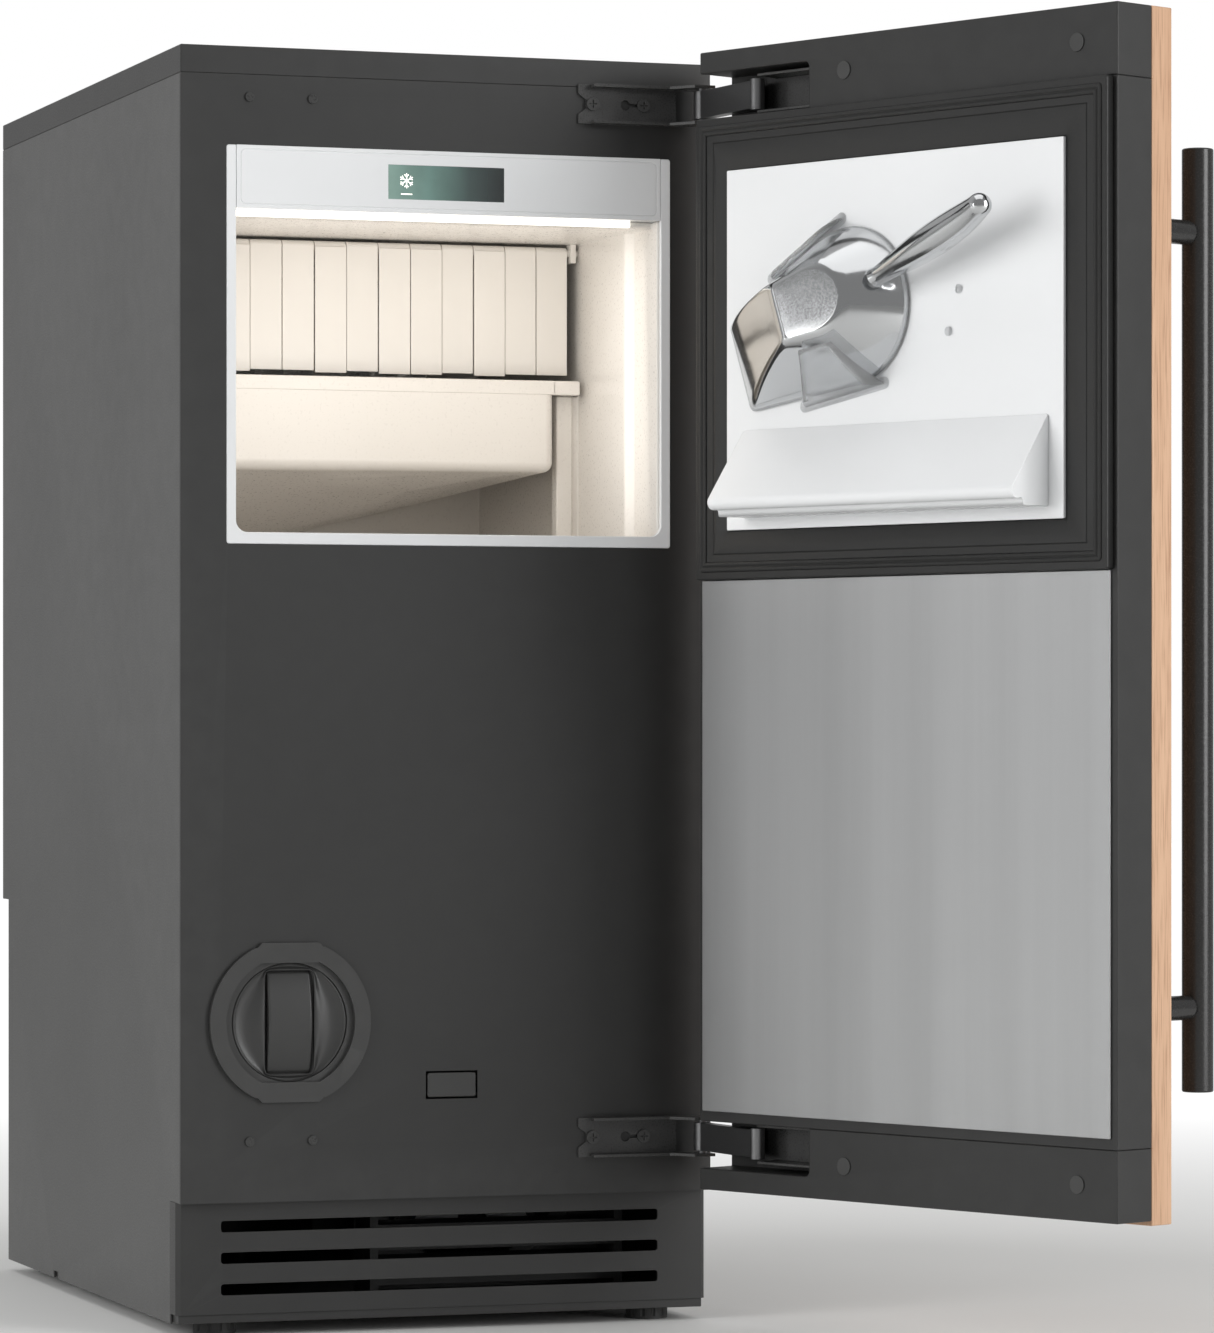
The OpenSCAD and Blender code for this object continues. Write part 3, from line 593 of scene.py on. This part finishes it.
def floor_paint():
    """Pale floor that the camera sees fading into the white backdrop with distance."""
    material, tree, shader, vector = new_material("floor_paint")
    grain = add_group(tree, SURFACE_GRAIN, vector, Broad=1.5, Fine=60.0)
    length = tree.nodes.new("ShaderNodeVectorMath")
    length.operation = "LENGTH"
    tree.links.new(vector, length.inputs[0])
    path = tree.nodes.new("ShaderNodeLightPath")
    far = add_range(tree, length.outputs["Value"], FLOOR_FADE[0], FLOOR_FADE[1])
    fade = add_math(tree, "MULTIPLY", far, path.outputs["Is Camera Ray"])
    paint = mix_colour(tree, grain.outputs["Tone"], grey(0.82), grey(0.85))
    tree.links.new(mix_colour(tree, fade, paint, (0.0, 0.0, 0.0)), shader.inputs["Base Color"])
    tree.links.new(mix_colour(tree, fade, (0.0, 0.0, 0.0), (1.0, 1.0, 1.0)), shader.inputs["Emission Color"])
    shader.inputs["Emission Strength"].default_value = 1.0
    shader.inputs["Roughness"].default_value = 0.7
    shader.inputs["Specular IOR Level"].default_value = 0.2
    return material


WARM_WHITE = (0.84, 0.81, 0.77)
COOL_WHITE = (0.84, 0.85, 0.86)
VERTICAL_BRUSH = (1, 1, 0.02)
MATERIALS = {
    "dark_steel": black_paint("dark_steel"),
    # Painted light: side_steel is the front's black paint made lighter (tone 0.048 against 0.018), for the
    # stronger light falling on the side.
    "side_steel": black_paint("side_steel", 0.048),
    "front_steel": black_paint("front_steel"),
    "grille_steel": black_paint("grille_steel"),
    "door_black": black_paint("door_black", 0.018),
    "door_frame_plastic": black_paint("door_frame_plastic", 0.014, 0.45),
    "black_plastic": black_paint("black_plastic", 0.035, 0.36),
    "black_screw": black_paint("black_screw", 0.03, 0.3),
    "hinge_steel": black_paint("hinge_steel", 0.03, 0.3, 0.8),
    "handle_black": black_paint("handle_black", 0.02, 0.25, 0.2),
    "black_rubber": black_paint("black_rubber", 0.018, 0.6, 0),
    "foot_rubber": black_paint("foot_rubber", 0.025, 0.6, 0),
    "compressor_steel": black_paint("compressor_steel", 0.02, 0.35),
    "zinc_steel": bare_metal("zinc_steel", (0.55, 0.56, 0.57), 0.4, broad=25.0, fine=300.0),
    "link_steel": bare_metal("link_steel", (0.28, 0.28, 0.285), 0.42),
    "tinned_metal": bare_metal("tinned_metal", (0.72, 0.73, 0.74), 0.25),
    "valve_metal": bare_metal("valve_metal", (0.45, 0.46, 0.48), 0.35),
    "fin_aluminium": black_paint("fin_aluminium", 0.02, 0.5),
    "stainless": bare_metal("stainless", (0.54, 0.545, 0.55), 0.34, spread=0.05, broad=30.0, fine=1800.0,
                            stretch=VERTICAL_BRUSH, bump=0.06, depth=0.01, anisotropic=0.6),
    "liner_plastic": white_moulding("liner_plastic", WARM_WHITE),
    "curtain_plastic": white_moulding("curtain_plastic", (0.86, 0.83, 0.79), 0.35),
    "white_gloss": white_moulding("white_gloss", COOL_WHITE, 0.22),
    "cartridge_white": white_moulding("cartridge_white", COOL_WHITE),
    "fan_plastic": white_moulding("fan_plastic", (0.7, 0.7, 0.7), 0.4),
    "pump_plastic": grained("pump_plastic", (0.04, 0.06, 0.09), (0.05, 0.075, 0.11), 0.45),
    "foam": grained("foam", (0.72, 0.6, 0.33), (0.82, 0.7, 0.42), 0.9, broad=30.0, fine=250.0,
                    bump=0.8, depth=0.6),
    "display_glass": display_glass("display_glass"),
    "led_diffuser": glowing("led_diffuser", (1.0, 0.96, 0.88), 1.5),
    "clear_plastic": clear_plastic("clear_plastic"),
    "scoop_chrome": chrome("scoop_chrome"),
    "beech": beech("beech"),
}


def finish_of(node):
    """The material slot that the record gives this node."""
    return next(part["material_slot"] for part in frame["record"]["subparts"] if part["node"] == node)


# ---- cabinet ----

SOFT_EDGES = {
    "top_cap": 0.8, "side_panels": 0.6, "rear_panels": 0.5, "front_plate": 0.5, "base_tray": 0.5,
    "kick_grille": 0.7, "bin_liner": 1.4, "liner_bezel": 0.8, "control_housing": 0.6, "led_bar": 0.3,
    "filter_bezel": 0.9, "filter_housing": 0.6, "front_fasteners": 0.35, "hinge_brackets": 0.5,
    "curtain_rod": 0.3, "evaporator": 0.3, "circulation_pump": 0.8, "drain_pump": 0.8,
    "inlet_valve": 0.8, "cord_gland": 0.8, "compressor": 2.0, "condenser": 0.3, "fan_shroud": 0.6,
    "rear_feet": 0.8, "hinge_links": 0.6, "door_shell": 0.8, "hinge_bars": 1.0, "bar_plugs": 0.3,
    "hinge_cups": 0.5, "filter_cartridge": 1.2, "fan_blade": 0.5,
    "foot_left": 0.8, "foot_right": 0.8,
}


def make_softened_nodes():
    for node, width in SOFT_EDGES.items():
        soften(node, finish_of(node), width)
    for number in range(1, 13):
        node = f"flap_{number:02d}"
        soften(node, finish_of(node), 0.3)


def make_water_trough():
    """Walls of a rounded rectangle in plan; the underside falls linearly backwards, deepest at the left."""
    low, high = CABINET.extent("reservoir")
    rim = high[2]
    left, right = low[0], high[0] - 19 * MM
    front, back = low[1] + 0.6 * MM, high[1]
    wall, corner = 2.5 * MM, 7 * MM
    front_z = rim - 65 * MM
    drop, side_drop = front_z - low[2], 5 * MM

    def underside(x, y):
        across = np.clip((x - left - 70 * MM) / (right - left - 70 * MM), 0, 1)
        fall = drop + (side_drop - drop) * across
        return front_z - fall * (y - front) / (back - front)

    def ring(inset, lift, rim_z=None):
        flat = rect_ring((left, front), (right, back), corner, inset, 0)
        x, y = flat[:, 0], flat[:, 2]
        z = np.full_like(x, rim_z) if rim_z is not None else underside(x, y) + lift
        return np.stack([x, y, z], -1)

    inner = [ring(wall + 40 * MM, wall), ring(wall + corner, wall), ring(wall, wall + corner),
             ring(wall, 0, rim)]
    turn = np.linspace(0, math.pi / 2, 6)
    outer = [ring(0, 0, rim)] + [ring(corner * (1 - math.cos(t)), corner * (1 - math.sin(t))) for t in turn]
    outer += [ring(corner + 30 * MM, 0), ring(corner + 80 * MM, 0)]
    shell = surface(np.stack(inner + outer), wrap_cols=True, caps=("first", "last"))
    flange_low, flange_high = (right - 1 * MM, rim - 10 * MM), (high[0], rim)
    flange = plate(flange_low, flange_high, 1.5 * MM, low[1] + 12 * MM, low[1], 0.8 * MM)
    lip = plate((left, rim - 10 * MM), (right + 1 * MM, rim), 1 * MM, low[1] + 3 * MM, low[1], 0.8 * MM)
    make_piece("water_trough", joined(shell, flange, lip), CABINET, "cabinet", "liner_plastic", ["reservoir"])


def make_filter_knob():
    """Dished disc blended from a circle to a pocket's superellipse, and an arched grip across it."""
    low, high = CABINET.extent("filter_knob")
    centre = np.array([(low[0] + high[0]) / 2, 0, (low[2] + high[2]) / 2])
    radius = (high[0] - low[0]) / 2
    half_x, half_z = 17.5 * MM, 35.5 * MM
    face, floor, back = 0.6 * MM, 5.4 * MM, 6 * MM
    power = 12
    angle = np.arange(128) * math.pi / 64
    rim = np.stack([np.cos(angle), np.zeros_like(angle), np.sin(angle)], -1)
    reach = ((np.abs(rim[:, 0]) / half_x) ** power + (np.abs(rim[:, 2]) / half_z) ** power) ** (-1 / power)

    def ring(share, depth, inset=0.0):
        points = rim * ((1 - share) * radius + share * (reach - inset))[:, None]
        points[:, 1] = depth
        return points

    bulge = 1.6 * MM
    dish = [ring(s, face + bulge * math.sin(math.pi * min(s * 1.2, 1)) ** 0.8)
            for s in np.linspace(0.12, 1, 8)]
    edge = [ring(0, back), ring(0, face + 0.8 * MM), ring(0.015, face + 0.2 * MM),
            ring(0.04, face), ring(0.075, face), ring(0.085, face + 0.5 * MM), ring(0.1, face + 0.5 * MM)]
    walls = [ring(1, face + 0.4 * MM, 0.3 * MM), ring(1, floor, 0.3 * MM)]
    disc = surface(np.stack(edge + dish + walls), wrap_cols=True, caps=("first", "last"))

    grip_x, grip_z = 15.2 * MM, 34.4 * MM
    rows = np.linspace(-1, 1, 33)
    crest = low[1] + 6.5 * MM * rows**2 + 0.8 * MM * np.abs(rows)
    across = np.array([[-1.0, 1], [-1, 0.0], [-0.97, 0], [-0.9, 0], [0.9, 0], [0.97, 0], [1, 0], [1, 1]])
    dip = np.array([0, 0.9, 0.25, 0, 0, 0.25, 0.9, 0]) * MM
    x = np.broadcast_to(across[:, 0] * grip_x, (33, 8))
    y = np.where(across[:, 1] > 0.5, floor + 0.2 * MM, crest[:, None] + dip)
    z = np.broadcast_to((rows * grip_z)[:, None], (33, 8))
    grip_grid = np.stack([x, np.minimum(y, floor + 0.2 * MM), z], -1)
    grip = surface(grip_grid, wrap_cols=True, caps=("first", "last"))
    shaft = lathe([(5 * MM, floor), (5 * MM, high[1] - 0.5 * MM), (4.5 * MM, high[1])])
    make_piece("knob", shifted(joined(disc, grip, shaft), centre), CABINET, "filter_knob", "black_plastic",
               ["filter_knob"], 40)


def make_button():
    """Plate with quarter-round front edges."""
    low, high = CABINET.extent("power_button")
    cap = plate((low[0], low[2]), (high[0], high[2]), 1.6 * MM, high[1], low[1], 0.9 * MM)
    make_piece("button_cap", cap, CABINET, "power_button", "black_plastic", ["power_button"])


STROKE_DEPTH = 0.08 * MM


def stroke(start, stop, width, front):
    """A thin bar from start to stop in x and z, standing just in front of a pane."""
    along = (stop - start) / np.linalg.norm(stop - start)
    side = np.array([-along[1], along[0]]) * width / 2
    corners = np.array([start - side, stop - side, stop + side, start + side])
    rings = [np.column_stack([corners[:, 0], np.full(4, y), corners[:, 1]])
             for y in (front, front - STROKE_DEPTH)]
    return surface(np.stack(rings), wrap_cols=True, caps=("first", "last"))


def make_display():
    """A flat pane with a six-armed ice crystal and a short line under it."""
    low, high = CABINET.extent("display_window")
    glass = plate((low[0], low[2]), (high[0], high[2]), 0.4 * MM, high[1], low[1], 0.2 * MM)
    make_piece("display_pane", glass, CABINET, "cabinet", "display_glass", ["display_window"])
    star = np.array([low[0] + 13 * MM, (low[2] + high[2]) / 2 + 1 * MM])
    bars = []
    for turn in np.radians(np.arange(0, 360, 60) + 30):
        arm = np.array([math.cos(turn), math.sin(turn)])
        bars.append(stroke(star, star + arm * 5 * MM, 0.7 * MM, low[1]))
        for lean in (-0.9, 0.9):
            twig = np.array([math.cos(turn + lean), math.sin(turn + lean)])
            bars.append(stroke(star + arm * 3 * MM, star + arm * 3 * MM + twig * 1.9 * MM, 0.6 * MM, low[1]))
    line = np.array([star[0] - 4 * MM, low[2] + 3.6 * MM])
    bars.append(stroke(line, line + np.array([8 * MM, 0]), 0.7 * MM, low[1]))
    make_piece("display_symbol", joined(*bars), CABINET, "cabinet", "led_diffuser")


# ---- door ----


def make_inner_frame():
    """Black frame: an outer edge, flat land, a fine groove, and a mitred slope down to the white panel."""
    low, high = DOOR.extent("inner_frame")
    hole_low, hole_high = DOOR.extent("liner_panel")
    outer = ((low[0], low[2]), (high[0], high[2]))
    inner = ((hole_low[0], hole_low[2]), (hole_high[0], hole_high[2]))
    face, back = low[1], high[1]
    groove, slope = 0.8 * MM, 2.2 * MM
    rings = [rect_ring(*outer, 2 * MM, i * MM, d) for i, d in (
        (0, back), (0, face + 1 * MM), (0.3, face + 0.3 * MM), (1, face), (16.5, face),
        (16.8, face + groove), (17.3, face + groove), (17.6, face))]
    rings += [rect_ring(*inner, 0.4 * MM, i * MM, d) for i, d in (
        (-9, face), (-1, face + slope), (0, face + slope), (0, back))]
    part = surface(np.stack(rings), wrap_cols=True, wrap_rows=True)
    make_piece("door_inner_frame", part, DOOR, "door", "door_frame_plastic", ["inner_frame"], 25)


def make_gasket():
    """Double bead: a band whose height is the size of one sine wave across it."""
    low, high = DOOR.extent("gasket")
    rows = np.linspace(0, 1, 17)
    depth = high[1] - (high[1] - low[1]) * np.abs(np.sin(2 * math.pi * rows)) ** 0.6
    rings = [rect_ring((low[0], low[2]), (high[0], high[2]), 3 * MM, r * 7 * MM, d)
             for r, d in zip(rows, depth)]
    part = surface(np.stack(rings), wrap_cols=True, wrap_rows=True)
    make_piece("door_gasket", part, DOOR, "door", "black_rubber", ["gasket"], 60)


def make_door_panels():
    """Flat plates with quarter-round edges: node, name, edge and corner radius in millimetres."""
    for node, name, edge, radius in (("liner_panel", "white_liner", 0.8, 1.0),
                                     ("lower_panel", "steel_panel", 0.5, 0.8)):
        low, high = DOOR.extent(node)
        part = plate((low[0], low[2]), (high[0], high[2]), radius * MM, high[1], low[1], edge * MM)
        make_piece(name, part, DOOR, "door", finish_of(node), [node])


def soft_loft(profile, start, stop, edge, steps=5):
    """A closed profile in y and z carried along x, drawn in towards its middle over each rounded end."""
    middle = profile.mean(0)
    reach = np.linalg.norm(profile - middle, axis=1).max()
    turn = np.linspace(0, math.pi / 2, steps)
    ends = [(edge * (1 - math.sin(t)), edge * (1 - math.cos(t))) for t in turn]
    rows = [(start + d, i) for i, d in ends] + [(stop - d, i) for i, d in reversed(ends)]
    rings = [np.column_stack([np.full(len(profile), x), middle + (profile - middle) * (1 - i / reach)])
             for x, i in rows]
    return surface(np.stack(rings), wrap_cols=True, caps=("first", "last"))


def arc(centre, radius, first, last, steps):
    """Points round part of a circle, angles in degrees."""
    angle = np.radians(np.linspace(first, last, steps))
    return np.array(centre) + radius * np.stack([np.cos(angle), np.sin(angle)], -1)


def make_shelf():
    """A sloped apron that ends in a rounded lip and turns back under."""
    low, high = DOOR.extent("deflector_shelf")
    root, tip = high[1], low[1]
    lip = 5.2 * MM
    lip_at = (tip + lip, low[2] + 9.5 * MM)
    profile = np.vstack([
        [(root, high[2]), (root - 0.8 * MM, high[2] - 0.1 * MM)],
        arc(lip_at, lip, 142, 285, 14),
        [(root - 26 * MM, low[2] + 5.2 * MM), (root - 24.5 * MM, low[2] + 3.5 * MM)],
        [(root - 24 * MM, low[2]), (root, low[2])],
    ])
    part = soft_loft(profile, low[0], high[0], 2.2 * MM)
    make_piece("ice_shelf", part, DOOR, "door", "white_gloss", ["deflector_shelf"], 45)


def make_wood():
    """Thick plate whose edges are quarter round on both faces."""
    low, high = DOOR.extent("wood_panel")
    edge = 0.6 * MM
    profile = rounded(0, low[1], edge)[::-1]
    rings = [rect_ring((low[0], low[2]), (high[0], high[2]), 1 * MM, i, d) for i, d in profile]
    rings += [rect_ring((low[0], low[2]), (high[0], high[2]), 1 * MM, i, d)
              for i, d in rounded(0, high[1], edge, -1)]
    part = surface(np.stack(rings), wrap_cols=True, caps=("first", "last"))
    make_piece("wooden_front", part, DOOR, "door", "beech", ["wood_panel"])


def make_handle():
    """Round bar with eased ends on two turned posts with collars."""
    low, high = DOOR.extent("handle_bar")
    radius = (high[0] - low[0]) / 2
    centre = (low + high) / 2
    length = high[2] - low[2]
    ease = 1.2 * MM
    turn = np.linspace(0, math.pi / 2, 5)
    end = [(radius - ease * (1 - math.cos(t)), length / 2 - ease * (1 - math.sin(t))) for t in turn]
    profile = [(r, -h) for r, h in reversed(end)] + end
    bar = lathe(profile, 64)
    upright = DOOR.moved(centre, [[1, 0, 0], [0, 0, 1], [0, -1, 0]])
    make_piece("handle_grip", bar, upright, "door", "handle_black", ["handle_bar"])

    low, high = DOOR.extent("handle_posts")
    foot = low[1]
    post = [(8, 0.0), (8, 3), (7.6, 3.4), (6.6, 3.8), (6.6, 20), (7.6, 21), (8, 22), (8, 49), (7.2, 52)]
    post = [(r * MM, foot + h * MM) for r, h in post]
    parts = [shifted(lathe(post, 40), (centre[0], 0, z)) for z in (low[2] + 8 * MM, high[2] - 8 * MM)]
    make_piece("handle_stems", joined(*parts), DOOR, "door", "handle_black", ["handle_posts"], 30)


# ---- scoop and holder ----

SCOOP_TILT = math.radians(199.5)
MOUTH = 110 * MM


def scoop_seat():
    """x towards the scoop's mouth, y across it, z away from the door's liner."""
    x = [math.cos(SCOOP_TILT), 0, math.sin(SCOOP_TILT)]
    y = [-math.sin(SCOOP_TILT), 0, math.cos(SCOOP_TILT)]
    tilted = DOOR.moved((0, 0, 0), [x, y, [0, -1, 0]])
    low, high = tilted.extent("scoop")
    return tilted.moved((high[0] - MOUTH, (low[1] + high[1]) / 2, low[2]), np.eye(3))


def scoop_outline(radius, mouth, half, corner, steps=48):
    """Round back and a straight flared mouth: an arc, tangents to it, and rounded mouth corners."""
    reach = math.hypot(mouth, half)
    tangent = math.atan2(half, mouth) + math.acos(min(radius / reach, 1))
    back = arc((0, 0), radius, math.degrees(tangent), 360 - math.degrees(tangent), steps + 1)
    flare = math.degrees(tangent) - 90
    low_corner = arc((mouth - corner, -half + corner * 0.9), corner, 270 - flare, 360, 8)
    high_corner = arc((mouth - corner, half - corner * 0.9), corner, 0, 90 + flare, 8)
    front = np.stack([np.full(9, mouth), np.linspace(-half + corner, half - corner, 9)], -1)
    side = np.linspace(0.1, 0.9, 8)[:, None]
    going = back[-1] + (low_corner[0] - back[-1]) * side
    coming = high_corner[-1] + (back[0] - high_corner[-1]) * side
    return np.vstack([back, going, low_corner, front, high_corner, coming])


def make_scoop():
    """Bowl: the rim outline drawn in to a smaller one on a sloping plane, with a curved fillet between."""
    seat = scoop_seat()
    rim = scoop_outline(52.6 * MM, MOUTH, 32 * MM, 6 * MM)
    flat = scoop_outline(23.7 * MM, 26 * MM, 21.5 * MM, 5 * MM) - np.array([5 * MM, 0])

    def on_flat(points):
        return np.column_stack([points, 43.6 * MM + 0.3 * (points[:, 0] + 5 * MM)])

    top = on_flat(flat)
    base = np.column_stack([rim, np.zeros(len(rim))])
    dome = 0.2
    rings = []
    for turn in np.linspace(0, 0.86, 12) * math.pi / 2:
        even = turn / (math.pi / 2)
        share = dome * (1 - math.cos(turn)) + (1 - dome) * even
        lift = dome * math.sin(turn) + (1 - dome) * even
        rings.append(base + (top - base) * np.array([share, share, lift]))
    middle = flat.mean(0)
    inner = on_flat(middle + (flat - middle) * 0.84)
    wall_end = rings[-1]
    rings += [(1 - u) ** 2 * wall_end + 2 * u * (1 - u) * top + u**2 * inner for u in np.linspace(0.1, 1, 9)]
    rings += [on_flat(middle + (flat - middle) * k) for k in (0.5, 0.2)]
    bowl = surface(np.stack(rings), wrap_cols=True, caps=("last",))
    piece = make_piece("scoop_bowl", bowl, seat, "scoop", "scoop_chrome", ["scoop"], 70)
    wall = piece.modifiers.new("wall", "SOLIDIFY")
    wall.thickness = 1.3 * MM
    wall.offset = -1
    t = np.linspace(0, 1, 40)
    path = np.stack([-(43 + 118 * t) * MM, 0 * t, (21 + 18 * t**3 + 4 * np.sin(np.pi * t)) * MM], -1)
    radii = (6.2 + 5 * np.sin(np.radians(150 * t)) ** 1.5 + 0.7 * (t < 0.05)) * MM
    along = (path[-1] - path[-2]) / np.linalg.norm(path[-1] - path[-2])
    turn = np.linspace(0.2, 1.5, 8)
    path = np.vstack([path, path[-1] + along * (radii[-1] * np.sin(turn))[:, None]])
    radii = np.concatenate([radii, radii[-1] * np.cos(turn)])
    make_piece("scoop_handle", tube(path, radii, 32), seat, "scoop", "scoop_chrome", (), 70)


def rail(start, stop, radius, height, base):
    """Two half circles and the straight sides between them, raised to a thin strip with eased edges."""
    heading = math.degrees(math.atan2(stop[1] - start[1], stop[0] - start[0]))
    rings = []
    for inset, z in ((0, base), (0, base + height - 0.3 * MM), (0.3 * MM, base + height)):
        outline = np.vstack([arc(stop, radius - inset, heading - 90, heading + 90, 13),
                             arc(start, radius - inset, heading + 90, heading + 270, 13)])
        rings.append(np.column_stack([outline, np.full(len(outline), z)]))
    return surface(np.stack(rings), wrap_cols=True, caps=("first", "last"))


def make_holder():
    """Two clear cheeks, ruled from foot line to crest and bowed outwards, on thin rails, and two studs."""
    seat = scoop_seat()
    face = DOOR.extent("liner_panel")[0][1]
    base = (seat.origin - DOOR.origin) @ DOOR.axes[1] - face
    feet, crests = ((63, 46), (-10, 58.5)), ((13, 29), (-16, 34.5))
    crest_z, bow = 46.5, 2 * MM
    parts, cheeks = [], []
    rise = np.linspace(0, 1, 13)[:, None, None]
    run = np.linspace(0, 1, 5)[None, :, None]
    for side in (-1, 1):
        foot = [np.array([x, side * y, 0]) * MM for x, y in feet]
        crest = [np.array([x, side * y, crest_z]) * MM for x, y in crests]
        lower = foot[0] + (foot[1] - foot[0]) * run
        upper = crest[0] + (crest[1] - crest[0]) * run
        grid = lower + (upper - lower) * rise
        grid[..., 1:2] += side * bow * np.sin(math.pi * rise)
        grid[0, :, 2] = base
        cheeks.append(surface(grid))
        parts.append(rail(foot[0][:2], foot[1][:2], 4 * MM, 1.2 * MM, base))
    piece = make_piece("scoop_cradle", joined(*cheeks), seat, "door", "clear_plastic", ["scoop_holder"], 40)
    sheet = piece.modifiers.new("sheet", "SOLIDIFY")
    sheet.thickness = 1.2 * MM
    sheet.offset = 0
    make_piece("cradle_rails", joined(*parts), seat, "door", "clear_plastic")
    stud = lathe([(3 * MM, 0), (3 * MM, -1.4 * MM), (2.4 * MM, -2 * MM), (1 * MM, -2 * MM)], 24)
    studs = [shifted(stud, (s * MM, face, z * MM)) for s, z in ((248, 695), (239, 668))]
    make_piece("liner_studs", joined(*studs), DOOR, "door", "clear_plastic")


def make_lights():
    """Soft boxes beside and above, thin strips for bright lines in metal, and two warm lamps in the bin."""
    area_light("side_softbox", (-3.2, -0.6, 0.9), (0, 0, 0.4), (2.6, 2.4), 60, glossy=False)
    area_light("right_softbox", (2.2, -2.8, 1.3), (-0.1, 0, 0.5), (1.6, 2.4), 72)
    area_light("overhead", (-0.2, -0.6, 3.2), (0, 0, 0.4), (2.5, 2.5), 20)
    area_light("door_strip", (-2.3, 0.35, 0.5), (0, -0.3, 0.5), (0.25, 1.6), 1.5)
    area_light("scoop_strip", (-2.5, -0.8, 0.75), (0.1, -0.27, 0.69), (0.45, 1.0), 5)
    low, high = CABINET.extent("led_bar")
    led = CABINET.place(np.array([[(low[0] + high[0]) / 2, 0.03, low[2] - 0.004]]))[0]
    led_size = ((high[0] - low[0]) * 0.8, 0.01)
    area_light("bin_light", led, led + np.array([0, 0.5, -1.0]), led_size, 0.03, WARM_LIGHT)
    low, high = CABINET.extent("liner_bezel")
    mouth = CABINET.place(np.array([[(low[0] + high[0]) / 2, 0.02, (low[2] + high[2]) / 2 - 0.02]]))[0]
    area_light("bin_fill", mouth, mouth + np.array([0, 1, -0.05]), (0.28, 0.2), 0.17, WARM_LIGHT)


def main():
    make_camera()
    bpy.context.scene.view_settings.view_transform = "Standard"
    make_world()
    make_floor()
    make_lights()
    for node, cad in NODES.items():
        cad.data.materials.clear()
        cad.data.materials.append(MATERIALS[finish_of(node)])
    make_softened_nodes()
    make_water_trough()
    make_filter_knob()
    make_button()
    make_display()
    make_inner_frame()
    make_gasket()
    make_door_panels()
    make_shelf()
    make_wood()
    make_handle()
    make_scoop()
    make_holder()


main()
